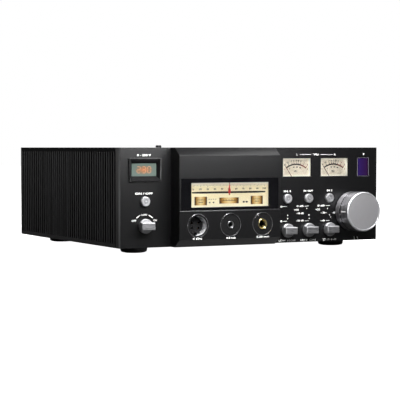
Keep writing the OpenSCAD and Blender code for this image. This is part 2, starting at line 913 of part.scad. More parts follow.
module heatsink_left() color("#1e1e20") {
    heatsink(-1);
}

module heatsink_right() color("#1e1e20") {
    heatsink(1);
}

module vents(x, y, za, zb) {
    for (i = [0:vent_count - 1])
        block(x + i * vent_pitch, x + i * vent_pitch + vent_w, y, y + vent_l, za, zb);
}

module top_cover() color("#29292b") {
    difference() {
        block(x_left, x_right, y_sink, y_inner, z_roof, z1);
        at_top_screws() screw_hole();
        vents(tx - vent_span / 2, ty - vent_l / 2, z_roof - 1, z1 + 1);
        vents(vent_x, vent_y, z_roof - 1, z1 + 1);
    }
}

module bottom_pan() color("#1b1b1c") {
    difference() {
        block(x_left, x_right, y_sink, y_inner, z0, z_floor);
        at_bottom_screws() screw_hole();
        at_foot_screws() screw_hole();
        post(tx, ty, bolt_d + 2 * screw_gap, z0 - 1, z_floor + 1);
        post(tx, ty, bolt_head_d + 2 * screw_gap, z0 - 1, z0 + bolt_head_h);
        vents(vent_x, vent_y, z0 - 1, z_floor + 1);
    }
}

module rear_panel() color("#19191a") {
    difference() {
        block(x_left, x_right, y_inner, y_rear, z0, z1);
        slab(inlet_x, inlet_z, inlet_w + 0.4, inlet_h + 0.4, y_inner - 1, y_rear + 1);
        for (p = rca_at)
            rod(p[0], p[1], rca_d + 4 * seat_gap, y_inner - 1, y_rear + 1);
        for (x = xlr_x)
            rod(x, xlr_z, xlr_body_d + 4 * seat_gap, y_inner - 1, y_rear + 1);
        slab(usb_x, usb_z, usb_w + 6 * seat_gap, usb_h + 4 * seat_gap, y_inner - 1, y_rear + 1);
        slab(optical_x, optical_z, optical_w + 6 * seat_gap, optical_w + 4 * seat_gap,
            y_inner - 1, y_rear + 1);
        rod(ax, az, aerial_socket_d + 4 * seat_gap, y_inner - 1, y_rear + 1);
        at_rear_screws() screw_hole();
    }
}

module feet() color("#141415") {
    for (sx = [-1, 1], sy = [-1, 1])
        difference() {
            translate([sx * foot_x, sy * foot_y, 0]) rotate_extrude($fn = 64)
                polygon([
                    [0, 0.4], [foot_d / 2 - 2.2, 0.4], [foot_d / 2 - 1, 0.9],
                    [foot_d / 2 - 0.3, 1.8], [foot_d / 2, 3], [foot_d / 2, foot_h], [0, foot_h]
                ]);
            post(sx * foot_x, sy * foot_y, pad_d + 2 * seat_gap, -1, pad_t);
            at_foot_screws() screw_hole();
        }
}

module foot_pads() color("#2b2b2b") {
    for (sx = [-1, 1], sy = [-1, 1])
        post(sx * foot_x, sy * foot_y, pad_d, 0, pad_t);
}

module case_screws() color("#3a3a3c") {
    at_top_screws() screw();
    at_bottom_screws() screw();
    at_rear_screws() screw();
    at_foot_screws() screw();
    at_bezel_screws() screw();
}

module transformer() color("#b5652a") {
    translate([tx, ty, z_floor]) rotate_extrude($fn = 64)
        polygon([
            [toroid_hole / 2, 6], [toroid_hole / 2 + 6, 0], [toroid_d / 2 - 8, 0],
            [toroid_d / 2, 8], [toroid_d / 2, toroid_h - 8], [toroid_d / 2 - 8, toroid_h],
            [toroid_hole / 2 + 6, toroid_h], [toroid_hole / 2, toroid_h - 6]
        ]);
}

module transformer_bolt() color("#a8a8aa") {
    post(tx, ty, washer_d, z_floor + toroid_h, z_floor + toroid_h + 2);
    post(tx, ty, bolt_head_d, z0 + 0.2, z0 + bolt_head_h);
    post(tx, ty, bolt_d, z0 + 0.2, z_floor + toroid_h + 2);
    translate([tx, ty, z_floor + toroid_h + 2]) cylinder(d = bolt_head_d, h = 5, $fn = 6);
}

module circuit_boards() color("#1f5a3a") {
    for (b = [power_board, amp_board, main_board])
        block(b[0], b[1], b[2], b[3], board_z, board_z + board_t);
    block(lx - 7, lx + 22, y_board, y_board + board_t, z_floor + 1.2, button_z + 7);
    block(button_x[1] - 8, button_x[3] + 8, y_board, y_board + board_t, z_floor + 1.2,
        vu_case_lo - 1);
}

module board_parts() color("#202224") {
    top = board_z + board_t;
    for (i = [0:3])
        translate([amp_board[0] + 15 + i * relay_pitch, amp_board[2] + 8, top])
            cube([relay_w, 11, relay_h]);
    for (i = [0:2])
        translate([amp_board[0] + 20 + i * chip_pitch, amp_board[2] + 44, top])
            cube([chip_w, chip_w, chip_h]);
    translate([main_board[1] - 57 - receiver_w, main_board[2] + 22, top])
        cube([receiver_w, 32, receiver_h]);
    for (y = [main_board[2] + 28, main_board[2] + 54])
        translate([main_board[1] - 23 - chip_w, y, top]) cube([chip_w, chip_w, chip_h]);
    for (s = [-1, 1], i = [0:2])
        translate([s > 0 ? x_in - 5 : -x_in, y_board + 34 + i * power_chip_pitch, z_floor + 14])
            cube([5, power_chip_w, power_chip_h]);
}

module capacitors() color("#2a3550") {
    top = board_z + board_t;
    for (i = [0:2], j = [0:1])
        post(power_board[0] + 17 + i * large_cap_pitch, power_board[2] + 20 + j * 32,
            large_cap_d, top, top + large_cap_h);
    for (i = [0:3])
        post(amp_board[0] + 20 + i * small_cap_pitch, amp_board[2] + 32, small_cap_d,
            top, top + small_cap_h);
}

module standoffs() color("#c8b060") {
    for (b = [power_board, amp_board, main_board])
        for (x = [b[0] + 5, b[1] - 5], y = [b[2] + 16, b[3] - 4])
            post(x, y, standoff_d, z_floor, board_z);
    for (z = [z0 + 16, button_z - 2])
        rod(lx + 17, z, standoff_d, y_back, y_board);
    for (x = [(button_x[1] + button_x[2]) / 2, (button_x[2] + button_x[3]) / 2])
        rod(x, z0 + 28, standoff_d, y_back, y_board);
}

module at_blades() {
    for (s = [-1, 0, 1])
        translate([inlet_x + s * blade_pitch, 0, plug_z + (s == 0 ? blade_dz : -blade_dz)])
            children();
}

module at_xlr_pins() {
    for (x = xlr_x, a = [90, 210, 330])
        translate([x + xlr_pin_r * cos(a), 0, xlr_z + xlr_pin_r * sin(a)]) children();
}

module mains_inlet() color("#101012") {
    difference() {
        union() {
            slab(inlet_x, inlet_z, inlet_w + 4, inlet_h + 4, y_rear, y_rear + 2);
            slab(inlet_x, inlet_z, inlet_w, inlet_h, y_inner - 15, y_rear + 0.5);
        }
        slab(inlet_x, plug_z, plug_w, plug_h, y_rear - 14, y_rear + 3);
        slab(inlet_x, rocker_z, 19.4, 13.4, y_rear - 10, y_rear + 3);
        at_blades() slab(0, 0, blade_w + 2 * seat_gap, blade_h + 2 * seat_gap,
            y_inner - 16, y_rear - 13);
        translate([inlet_x - 11, rocker_y, rocker_z]) rotate([0, 90, 0])
            cylinder(d = rocker_pin_d + 2 * turn_gap, h = 22);
    }
}

module power_rocker() color("#1d1d1f") {
    translate([inlet_x, rocker_y, rocker_z]) rotate([rocker_tilt, 0, 0]) {
        translate([-8.9, 0, 0]) rotate([90, 0, 90]) linear_extrude(height = 17.8)
            polygon([
                [-2.6, -3.2], [1, -5.8], [4.2, -5.8], [3, 0], [4.2, 5.8], [1, 5.8],
                [-2.6, 3.2]
            ]);
        translate([-10.6, 0, 0]) rotate([0, 90, 0]) cylinder(d = rocker_pin_d, h = 21.2);
    }
}

module rear_sockets() color("#bdbdc0") {
    for (p = rca_at)
        difference() {
            union() {
                rod(p[0], p[1], rca_d, y_inner - 12, y_rear + 9);
                rod(p[0], p[1], rca_flange_d, y_rear, y_rear + 2);
                rod(p[0], p[1], rca_flange_d, y_inner - 12, y_inner - 0.2);
            }
            rod(p[0], p[1], 3.2, y_inner - 8, y_rear + 10);
        }
    difference() {
        slab(usb_x, usb_z, usb_w, usb_h, y_inner - 13, y_rear + 0.6);
        slab(usb_x, usb_z, 8.6, 7.8, y_rear - 9, y_rear + 1);
    }
    slab(usb_x, usb_z, 5.4, 3.2, y_rear - 9.5, y_rear - 0.6);
    difference() {
        slab(optical_x, optical_z, optical_w, optical_w, y_inner - 11, y_rear + 0.6);
        slab(optical_x, optical_z, 6.4, 6.4, y_rear - 6, y_rear + 1);
    }
    rod(ax, az, aerial_socket_d, y_inner - 8, y_rear + 8);
    translate([ax, y_rear, az]) rotate([-90, 0, 0])
        cylinder(d = aerial_socket_d + 3, h = 1.8, $fn = 6);
}

module xlr_outputs() color("#17171a") {
    difference() {
        for (x = xlr_x) {
            slab(x, xlr_z, 26, 31, y_rear, y_rear + 2);
            rod(x, xlr_z, xlr_body_d, y_inner - 16, y_rear + 0.5);
        }
        for (x = xlr_x)
            rod(x, xlr_z, 18.8, y_rear - 14, y_rear + 3);
        at_xlr_pins() rod(0, 0, xlr_pin_d + 2 * seat_gap, y_inner - 17, y_inner - 9);
    }
}

module contact_pins() color("#c9c9c4") {
    at_xlr_pins() rod(0, 0, xlr_pin_d, y_inner - 18, y_inner - 1);
    at_blades() slab(0, 0, blade_w, blade_h, y_rear - 22, y_rear - 3);
}

module antenna_base() color("#161616") {
    difference() {
        union() {
            rod(ax, az, aerial_nut_d, y_rear + 2.2, aerial_pivot_y - 6.2);
            block(ax - fork_w / 2, ax + fork_w / 2, aerial_pivot_y - 6.7,
                aerial_pivot_y + 3.4, az - fork_w / 2, az + fork_w / 2);
        }
        rod(ax, az, aerial_socket_d + 2 * turn_gap, y_rear, y_rear + 8.4);
        slab(ax, az, tongue_t + 2 * fork_gap, 12, aerial_pivot_y - 5.6, aerial_pivot_y + 6);
        translate([ax - 6, aerial_pivot_y, az]) rotate([0, 90, 0])
            cylinder(d = hinge_pin_d + 2 * turn_gap, h = 12);
    }
}

module antenna_mast() color("#161616") {
    translate([ax - tongue_t / 2, aerial_pivot_y, az]) rotate([0, 90, 0])
        cylinder(d = 8, h = tongue_t);
    slab(ax, az + 4, tongue_t, 8, aerial_pivot_y - 4, aerial_pivot_y + 4);
    translate([ax, aerial_pivot_y, az + 6.6])
        cylinder(d1 = aerial_d, d2 = aerial_d - 1.6, h = aerial_len - 7.2);
    translate([ax, aerial_pivot_y, az + aerial_len - 0.6])
        cylinder(d1 = aerial_d - 1.6, d2 = aerial_d - 2.8, h = 0.6);
    translate([ax - 4.4, aerial_pivot_y, az]) rotate([0, 90, 0])
        cylinder(d = hinge_pin_d, h = 8.8);
}

front_panel();
centre_bezel();
dial_mask();
dial_lens();
dial_plate();
tuning_windows();
dial_lamp_box();
dial_pointer();
pointer_rail();
pointer_drive();
display_frame();
volt_display();
vu_cases();
vu_scales();
vu_lenses();
vu_needle_left();
vu_needle_right();
remote_window();
button_1();
button_2();
button_3();
button_4();
selector_1();
selector_2();
selector_3();
selector_4();
shaft_1();
shaft_2();
shaft_3();
shaft_4();
rotary_switches();
board_switches();
volume_knob();
volume_shaft();
volume_control();
xlr_socket();
xlr_insert();
phone_jacks();
jack_collars();
heatsink_left();
heatsink_right();
top_cover();
bottom_pan();
rear_panel();
feet();
foot_pads();
case_screws();
transformer();
transformer_bolt();
circuit_boards();
board_parts();
capacitors();
standoffs();
mains_inlet();
power_rocker();
rear_sockets();
xlr_outputs();
contact_pins();
antenna_base();
antenna_mast();
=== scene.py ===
import math

import bpy
from mathutils import Matrix, Vector


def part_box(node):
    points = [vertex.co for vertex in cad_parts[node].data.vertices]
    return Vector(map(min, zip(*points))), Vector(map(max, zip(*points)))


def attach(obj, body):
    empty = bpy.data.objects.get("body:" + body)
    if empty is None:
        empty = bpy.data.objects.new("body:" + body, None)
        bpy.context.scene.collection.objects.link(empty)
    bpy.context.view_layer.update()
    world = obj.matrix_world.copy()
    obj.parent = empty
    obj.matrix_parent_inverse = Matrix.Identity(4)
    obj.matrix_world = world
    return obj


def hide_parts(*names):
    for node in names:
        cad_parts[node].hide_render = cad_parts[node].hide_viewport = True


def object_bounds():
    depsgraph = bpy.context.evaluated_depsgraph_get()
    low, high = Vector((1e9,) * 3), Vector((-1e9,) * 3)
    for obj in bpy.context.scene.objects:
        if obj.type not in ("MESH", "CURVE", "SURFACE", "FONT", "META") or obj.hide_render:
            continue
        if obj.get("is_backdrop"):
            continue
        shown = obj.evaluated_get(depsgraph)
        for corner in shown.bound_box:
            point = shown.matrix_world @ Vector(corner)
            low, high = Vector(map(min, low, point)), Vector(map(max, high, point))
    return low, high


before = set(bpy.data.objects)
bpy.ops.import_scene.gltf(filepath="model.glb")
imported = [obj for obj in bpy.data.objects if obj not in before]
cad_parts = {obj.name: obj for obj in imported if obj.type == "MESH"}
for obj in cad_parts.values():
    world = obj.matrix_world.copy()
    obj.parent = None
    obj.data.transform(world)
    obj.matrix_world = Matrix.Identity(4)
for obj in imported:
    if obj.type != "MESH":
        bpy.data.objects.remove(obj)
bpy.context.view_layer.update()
bpy.ops.object.select_all(action="DESELECT")

# Bottom pan: a flat steel sheet 4 mm thick, punched with vents and screwed up into the heat sinks.
# It is powder coated black, so a fine orange peel breaks up whatever it reflects.
MM = 0.001


def linear(code):
    """An sRGB hex colour as the linear colour that shaders take."""
    parts = [int(code[i:i + 2], 16) / 255 for i in (1, 3, 5)]
    return (*[c / 12.92 if c < 0.0405 else ((c + 0.055) / 1.055) ** 2.4 for c in parts], 1.0)


def start(name):
    """A new material, its node tree and the Object coordinates in it."""
    made = bpy.data.materials.new(name)
    made.use_nodes = True
    made.node_tree.nodes.clear()
    return made, made.node_tree, add(made.node_tree, "TexCoord").outputs["Object"]


def add(tree, kind, inputs=(), stops=(), **settings):
    """Adds one node. An input is a value or another node's output socket, stops are for a colour ramp."""
    made = tree.nodes.new("ShaderNode" + kind)
    for key, value in settings.items():
        setattr(made, key, value)
    for i, (position, colour) in enumerate(stops):
        ramp = made.color_ramp.elements
        stop = ramp[i] if i < 2 else ramp.new(position)
        stop.position = position
        stop.color = linear(colour) if isinstance(colour, str) else (colour, colour, colour, 1.0)
    for key, value in dict(inputs).items():
        if isinstance(value, bpy.types.NodeSocket):
            tree.links.new(value, made.inputs[key])
        else:
            made.inputs[key].default_value = value
    return made


def paint(surface, *names):
    """Puts a material on CAD nodes."""
    for name in names:
        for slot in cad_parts[name].material_slots:
            slot.material = surface


def round_off(node, width, surface, body="chassis", segments=2):
    """Stands a copy of a CAD piece in its place, its triangles merged and its edges rounded by width mm."""
    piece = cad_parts[node].copy()
    piece.data = piece.data.copy()
    piece.parent = None
    piece.matrix_world = Matrix.Identity(4)
    piece.name = node + "_finished"
    bpy.context.collection.objects.link(piece)
    bpy.context.view_layer.objects.active = piece
    piece.select_set(True)
    bpy.ops.object.mode_set(mode="EDIT")
    bpy.ops.mesh.select_all(action="SELECT")
    bpy.ops.mesh.remove_doubles(threshold=0.000002)
    bpy.ops.mesh.customdata_custom_splitnormals_clear()
    bpy.ops.mesh.dissolve_limited(angle_limit=math.radians(0.5))
    bpy.ops.object.mode_set(mode="OBJECT")
    bpy.ops.object.shade_smooth()
    edges = piece.modifiers.new("rounded edges", "BEVEL")
    edges.width = width * MM
    edges.segments = segments
    edges.limit_method = "ANGLE"
    edges.angle_limit = math.radians(40)
    edges.harden_normals = True
    bpy.ops.object.modifier_apply(modifier="rounded edges")
    piece.data.materials.clear()
    piece.data.materials.append(surface)
    piece.select_set(False)
    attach(piece, body)
    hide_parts(node)
    return piece


# Powder coat on steel sheet: dull black with a 1.2 mm orange peel left by the melted powder.
powder, tree, place = start("black powder coat on steel sheet")
peel = add(tree, "TexNoise", {"Vector": place, "Scale": 830.0, "Detail": 2.0})
patches = add(tree, "TexNoise", {"Vector": place, "Scale": 14.0, "Detail": 3.0})
tone = add(tree, "ValToRGB", {"Fac": patches.outputs["Fac"]}, [(0.3, "#131314"), (0.7, "#1a1a1c")])
gloss = add(tree, "MapRange", {"Value": peel.outputs["Fac"], "To Min": 0.42, "To Max": 0.58})
edge = add(tree, "Bevel", {"Radius": 0.0004}, samples=4)
relief = add(tree, "Bump", {"Strength": 0.25, "Distance": 0.00006, "Height": peel.outputs["Fac"],
                            "Normal": edge.outputs["Normal"]})
skin = add(tree, "BsdfPrincipled", {"Base Color": tone.outputs["Color"], "IOR": 1.5,
                                    "Specular IOR Level": 0.36, "Roughness": gloss.outputs["Result"],
                                    "Normal": relief.outputs["Normal"]})
add(tree, "OutputMaterial", {"Surface": skin.outputs[0]})
round_off("bottom_pan", 0.4, powder)

# Feet: moulded in black ABS in the shape of turned ones, each held by one screw from below, with a
# disc of soft rubber pressed into its underside to grip the shelf.
# Polished ABS: glossy black from a polished mould, with faint 15 mm flow marks in its gloss.
foot_abs, tree, place = start("polished black ABS")
flow = add(tree, "TexNoise", {"Vector": place, "Scale": 65.0, "Detail": 3.0})
dust = add(tree, "TexNoise", {"Vector": place, "Scale": 1400.0, "Detail": 3.0})
tone = add(tree, "ValToRGB", {"Fac": dust.outputs["Fac"]}, [(0.35, "#0b0b0c"), (0.7, "#131314")])
gloss = add(tree, "MapRange", {"Value": flow.outputs["Fac"], "To Min": 0.24, "To Max": 0.36})
skin = add(tree, "BsdfPrincipled", {"Base Color": tone.outputs["Color"], "IOR": 1.53,
                                    "Roughness": gloss.outputs["Result"]})
add(tree, "OutputMaterial", {"Surface": skin.outputs[0]})
round_off("feet", 0.8, foot_abs, segments=3)


def mottled(name, noise, tones, shader, gloss=None, glow=None, relief=None):
    """A material toned by one noise. Gloss, glow and relief follow the same noise where they are given."""
    made, tree, place = start(name)
    grain = add(tree, "TexNoise", {"Vector": place, **noise})
    tone = add(tree, "ValToRGB", {"Fac": grain.outputs["Fac"]}, tones)
    values = {"Base Color": tone.outputs["Color"], **shader}
    if gloss:
        spread = add(tree, "MapRange", {"Value": grain.outputs["Fac"], "To Min": gloss[0],
                                        "To Max": gloss[1]})
        values["Roughness"] = spread.outputs["Result"]
    if glow:
        values["Emission Color"] = tone.outputs["Color"]
        values["Emission Strength"] = glow
    if relief:
        bump = add(tree, "Bump", {"Strength": relief[0], "Distance": relief[1],
                                  "Height": grain.outputs["Fac"]})
        values["Normal"] = bump.outputs["Normal"]
    skin = add(tree, "BsdfPrincipled", values)
    add(tree, "OutputMaterial", {"Surface": skin.outputs[0]})
    return made


# Nitrile rubber: dead matt dark grey with dusty high spots.
rubber = mottled("moulded nitrile rubber", {"Scale": 900.0, "Detail": 4.0},
                 [(0.3, "#1c1c1c"), (0.75, "#2e2d2c")], {"IOR": 1.52, "Roughness": 0.85},
                 relief=(0.4, 0.0001))
paint(rubber, "foot_pads")

# Mains transformer: a ring of steel strip wound with copper wire and wrapped in overlapping turns
# of polyester tape. One long bolt through a dished washer holds it to the pan.
# Polyester tape: glossy amber film, its 6 mm turns crossing the ring from the hole outwards.
TAPE_TURNS = 46.0
tape, tree, place = start("polyester tape over copper windings")
low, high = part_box("transformer")
centre = (low + high) / 2
centred = add(tree, "Mapping", {"Vector": place, "Location": (-centre.x, -centre.y, 0.0)})
axes = add(tree, "SeparateXYZ", {"Vector": centred.outputs["Vector"]})
bearing = add(tree, "Math", {0: axes.outputs["Y"], 1: axes.outputs["X"]}, operation="ARCTAN2")
turns = add(tree, "Math", {0: bearing.outputs[0], 1: TAPE_TURNS / math.tau}, operation="MULTIPLY")
lap = add(tree, "Math", {0: turns.outputs[0]}, operation="FRACT")
tone = add(tree, "ValToRGB", {"Fac": lap.outputs[0]}, [(0.0, "#7a3f18"), (0.12, "#b5652a"), (0.9, "#c97a3a")])
relief = add(tree, "Bump", {"Strength": 0.5, "Distance": 0.0003, "Height": lap.outputs[0]})
skin = add(tree, "BsdfPrincipled", {"Base Color": tone.outputs["Color"], "IOR": 1.58, "Roughness": 0.22,
                                    "Normal": relief.outputs["Normal"]})
add(tree, "OutputMaterial", {"Surface": skin.outputs[0]})
paint(tape, "transformer")

# Zinc plate on steel: bluish silver, the plating's 2 mm spangle just visible.
zinc, tree, place = start("zinc plated steel")
spangle = add(tree, "TexVoronoi", {"Vector": place, "Scale": 500.0})
tone = add(tree, "ValToRGB", {"Fac": spangle.outputs["Distance"]}, [(0.0, "#b4b8bd"), (0.8, "#8f9398")])
gloss = add(tree, "MapRange", {"Value": spangle.outputs["Distance"], "To Min": 0.25, "To Max": 0.42})
skin = add(tree, "BsdfPrincipled", {"Base Color": tone.outputs["Color"], "Metallic": 1.0,
                                    "Roughness": gloss.outputs["Result"]})
add(tree, "OutputMaterial", {"Surface": skin.outputs[0]})
paint(zinc, "transformer_bolt")

# Circuit boards: glass-epoxy sheets 1.6 mm thick under green solder mask, standing on brass pillars,
# with relays, chips and power transistors as plain black blocks.
# Solder mask: glossy green over copper tracks about 0.8 mm wide, which show through as lighter lines.
mask_green, tree, place = start("green solder mask over copper tracks")
tracks = add(tree, "TexVoronoi", {"Vector": place, "Scale": 260.0}, distance="CHEBYCHEV", feature="F1")
tone = add(tree, "ValToRGB", {"Fac": tracks.outputs["Distance"]}, [(0.36, "#1b5534"), (0.4, "#2f7a4c"),
                                                                  (0.46, "#2f7a4c"), (0.5, "#17492d")])
relief = add(tree, "Bump", {"Strength": 0.3, "Distance": 0.00004, "Height": tone.outputs["Color"]})
skin = add(tree, "BsdfPrincipled", {"Base Color": tone.outputs["Color"], "IOR": 1.5, "Roughness": 0.25,
                                    "Normal": relief.outputs["Normal"]})
add(tree, "OutputMaterial", {"Surface": skin.outputs[0]})
paint(mask_green, "circuit_boards")

# Moulded epoxy: charcoal black with a fine matt grain.
epoxy = mottled("moulded black epoxy", {"Scale": 1500.0, "Detail": 4.0},
                [(0.3, "#17181a"), (0.7, "#232527")], {"IOR": 1.55, "Roughness": 0.6},
                relief=(0.3, 0.00004))
paint(epoxy, "board_parts")

# Turned brass: warm yellow with the lathe's feed marks round it, drawn 1 mm apart.
brass, tree, place = start("turned brass")
feed = add(tree, "TexWave", {"Vector": place, "Scale": 320.0, "Distortion": 0.4}, bands_direction="Y")
tone = add(tree, "ValToRGB", {"Fac": feed.outputs["Fac"]}, [(0.2, "#beac74"), (0.8, "#dccd9c")])
relief = add(tree, "Bump", {"Strength": 0.15, "Distance": 0.00004, "Height": feed.outputs["Fac"]})
skin = add(tree, "BsdfPrincipled", {"Base Color": tone.outputs["Color"], "Metallic": 1.0, "Roughness": 0.24,
                                    "Normal": relief.outputs["Normal"]})
add(tree, "OutputMaterial", {"Surface": skin.outputs[0]})
paint(brass, "standoffs")

# Capacitors: aluminium cans in heat-shrunk plastic sleeves, soldered upright. The bare can shows only
# on top, inside the sleeve's curled rim.
sleeve, tree, place = start("PVC sleeve on an aluminium can")
facing = add(tree, "SeparateXYZ", {"Vector": add(tree, "NewGeometry").outputs["Normal"]})
bare = add(tree, "Math", {0: facing.outputs["Z"], 1: 0.9}, operation="GREATER_THAN")
creases = add(tree, "TexNoise", {"Vector": place, "Scale": 260.0, "Detail": 2.0})
tone = add(tree, "ValToRGB", {"Fac": creases.outputs["Fac"]}, [(0.3, "#1d2740"), (0.7, "#2c3a5c")])
both = add(tree, "Mix", {"Factor": bare.outputs[0], 6: tone.outputs["Color"], 7: linear("#b9bbbe")},
           data_type="RGBA")
skin = add(tree, "BsdfPrincipled", {"Base Color": both.outputs[2], "Metallic": bare.outputs[0],
                                    "Roughness": 0.32})
add(tree, "OutputMaterial", {"Surface": skin.outputs[0]})
paint(sleeve, "capacitors")

# Heat sinks: aluminium extrusions cut to length, 45 fins on a 5 mm plate each side, anodised black.
# They carry the power transistors and are the side walls of the case.
# Black anodised extrusion: die lines run down each fin, and no two fins take the dye quite alike.
fins_black, tree, place = start("black anodised aluminium extrusion")
along = add(tree, "Mapping", {"Vector": place, "Scale": (1.0, 1.0, 0.02)})
lines = add(tree, "TexNoise", {"Vector": along.outputs["Vector"], "Scale": 1300.0, "Detail": 2.0})
across = add(tree, "Mapping", {"Vector": place, "Scale": (0.0, 1.0, 0.0)})
dye = add(tree, "TexNoise", {"Vector": across.outputs["Vector"], "Scale": 130.0, "Detail": 2.0,
                             "Roughness": 0.8})
tone = add(tree, "ValToRGB", {"Fac": dye.outputs["Fac"]}, [(0.36, "#060607"), (0.48, "#19191b"),
                                                           (0.62, "#404043")])
gloss = add(tree, "MapRange", {"Value": lines.outputs["Fac"], "To Min": 0.34, "To Max": 0.5})
edge = add(tree, "Bevel", {"Radius": 0.0003}, samples=4)
relief = add(tree, "Bump", {"Strength": 0.25, "Distance": 0.00005, "Height": lines.outputs["Fac"],
                            "Normal": edge.outputs["Normal"]})
skin = add(tree, "BsdfPrincipled", {"Base Color": tone.outputs["Color"], "IOR": 1.5,
                                    "Specular IOR Level": 0.36, "Roughness": gloss.outputs["Result"],
                                    "Normal": relief.outputs["Normal"]})
add(tree, "OutputMaterial", {"Surface": skin.outputs[0]})
paint(fins_black, "heatsink_left", "heatsink_right")

# Front panel: an 8 mm aluminium plate, milled for every control, bead blasted and anodised black.
# Pegs on its back space it off the case, which leaves the dark line round it.
# Blasted and anodised: soft black sheen whose 0.6 mm pits are drawn larger than the real ones.
blasted, tree, place = start("black anodised bead-blasted aluminium")
pits = add(tree, "TexNoise", {"Vector": place, "Scale": 1600.0, "Detail": 3.0, "Roughness": 0.65})
cloud = add(tree, "TexNoise", {"Vector": place, "Scale": 9.0, "Detail": 3.0})
tone = add(tree, "ValToRGB", {"Fac": cloud.outputs["Fac"]}, [(0.3, "#060607"), (0.7, "#0a0a0b")])
gloss = add(tree, "MapRange", {"Value": pits.outputs["Fac"], "To Min": 0.3, "To Max": 0.4})
edge = add(tree, "Bevel", {"Radius": 0.0005}, samples=4)
relief = add(tree, "Bump", {"Strength": 0.2, "Distance": 0.00004, "Height": pits.outputs["Fac"],
                            "Normal": edge.outputs["Normal"]})
skin = add(tree, "BsdfPrincipled", {"Base Color": tone.outputs["Color"], "IOR": 1.5,
                                    "Specular IOR Level": 0.42, "Roughness": gloss.outputs["Result"],
                                    "Normal": relief.outputs["Normal"]})
add(tree, "OutputMaterial", {"Surface": skin.outputs[0]})
panel_piece = round_off("front_panel", 0.4, blasted)


def coat(piece, surface, wanted):
    """Gives a second material to the faces of a piece that wanted picks."""
    piece.data.materials.append(surface)
    for side in piece.data.polygons:
        if wanted(side):
            side.material_index = len(piece.data.materials) - 1


# Milled edge: the outer edges are cut last with a fine tool, so they are glossier than the blasted face, and
# their lighter tone is a painted highlight that makes a thin light line. The tool's feed marks are drawn 0.7
# mm apart.
milled = mottled("black anodised fine-milled edge with painted highlight", {"Scale": 1400.0, "Detail": 2.0},
                 [(0.3, "#161617"), (0.7, "#1e1e20")], {"IOR": 1.5, "Specular IOR Level": 1.0},
                 gloss=(0.26, 0.36))
low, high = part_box("front_panel")
side_band = 1.8 * MM
top_band = 0.7 * MM
coat(panel_piece, milled, lambda side: -0.97 < side.normal.y < -0.2 and (
    side.center.x < low.x + side_band or side.center.x > high.x - side_band
    or side.center.z > high.z - top_band))

# Panel printing: white epoxy ink, silk-screened on the anodised plate and baked. It is plain numbers,
# units and short words such as ON and LOW, with lines and dots, beside each control.
FRONT = -131.0
INK_DEPTH = 0.1


def lettering(words, x, z, wide, high, face=FRONT):
    """Printed words, wide by high millimetres about (x, z), standing 0.05 mm off the face behind them."""
    bpy.ops.object.text_add()
    piece = bpy.context.object
    piece.data.body = words
    piece.data.resolution_u = 3
    piece.data.extrude = 0.5
    piece.data.offset = 0.022
    bpy.ops.object.convert(target="MESH")
    piece = bpy.context.object
    low_corner = Vector([min(v.co[i] for v in piece.data.vertices) for i in range(3)])
    high_corner = Vector([max(v.co[i] for v in piece.data.vertices) for i in range(3)])
    size = high_corner - low_corner
    piece.data.transform(
        Matrix.Translation(Vector((x, face, z)) * MM)
        @ Matrix.Rotation(math.radians(90), 4, "X")
        @ Matrix.Diagonal((wide * MM / size.x, high * MM / size.y, INK_DEPTH * MM / size.z, 1.0))
        @ Matrix.Translation(-(low_corner + high_corner) / 2))
    return piece


bpy.ops.mesh.primitive_cube_add(size=1)
ink_bar = bpy.context.object
ink_bar.name = "ink_bar"
bpy.ops.object.mode_set(mode="EDIT")
bpy.ops.mesh.select_all(action="SELECT")
bpy.ops.mesh.bevel(offset=0.12, segments=1)
bpy.ops.object.mode_set(mode="OBJECT")


def stroke(x, z, wide, high, face=FRONT, lean=0.0):
    """A copy of the round-cornered ink bar, leaning clockwise by lean degrees."""
    piece = ink_bar.copy()
    piece.data = ink_bar.data.copy()
    bpy.context.collection.objects.link(piece)
    piece.data.transform(
        Matrix.Translation(Vector((x, face, z)) * MM)
        @ Matrix.Rotation(math.radians(lean), 4, "Y")
        @ Matrix.Diagonal((wide * MM, INK_DEPTH * MM, high * MM, 1.0)))
    return piece


def gather(name, parts, surface, body="chassis"):
    """Joins parts into one closed piece with one material that rides on a body."""
    bpy.ops.object.select_all(action="DESELECT")
    for part in parts:
        part.select_set(True)
    bpy.context.view_layer.objects.active = parts[0]
    bpy.ops.object.join()
    piece = bpy.context.object
    piece.name = name
    bpy.ops.object.mode_set(mode="EDIT")
    bpy.ops.mesh.select_all(action="SELECT")
    bpy.ops.mesh.remove_doubles(threshold=0.000001)
    bpy.ops.mesh.normals_make_consistent(inside=False)
    bpy.ops.object.mode_set(mode="OBJECT")
    piece.data.materials.clear()
    piece.data.materials.append(surface)
    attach(piece, body)
    bpy.ops.object.select_all(action="DESELECT")
    return piece


# Baked epoxy ink: off-white, slightly uneven where the mesh of the screen left more or less of it.
ink = mottled("white screen-printed epoxy ink", {"Scale": 2200.0, "Detail": 2.0},
              [(0.3, "#d2d2d0"), (0.6, "#f2f2f0")], {"IOR": 1.5, "Roughness": 0.45})

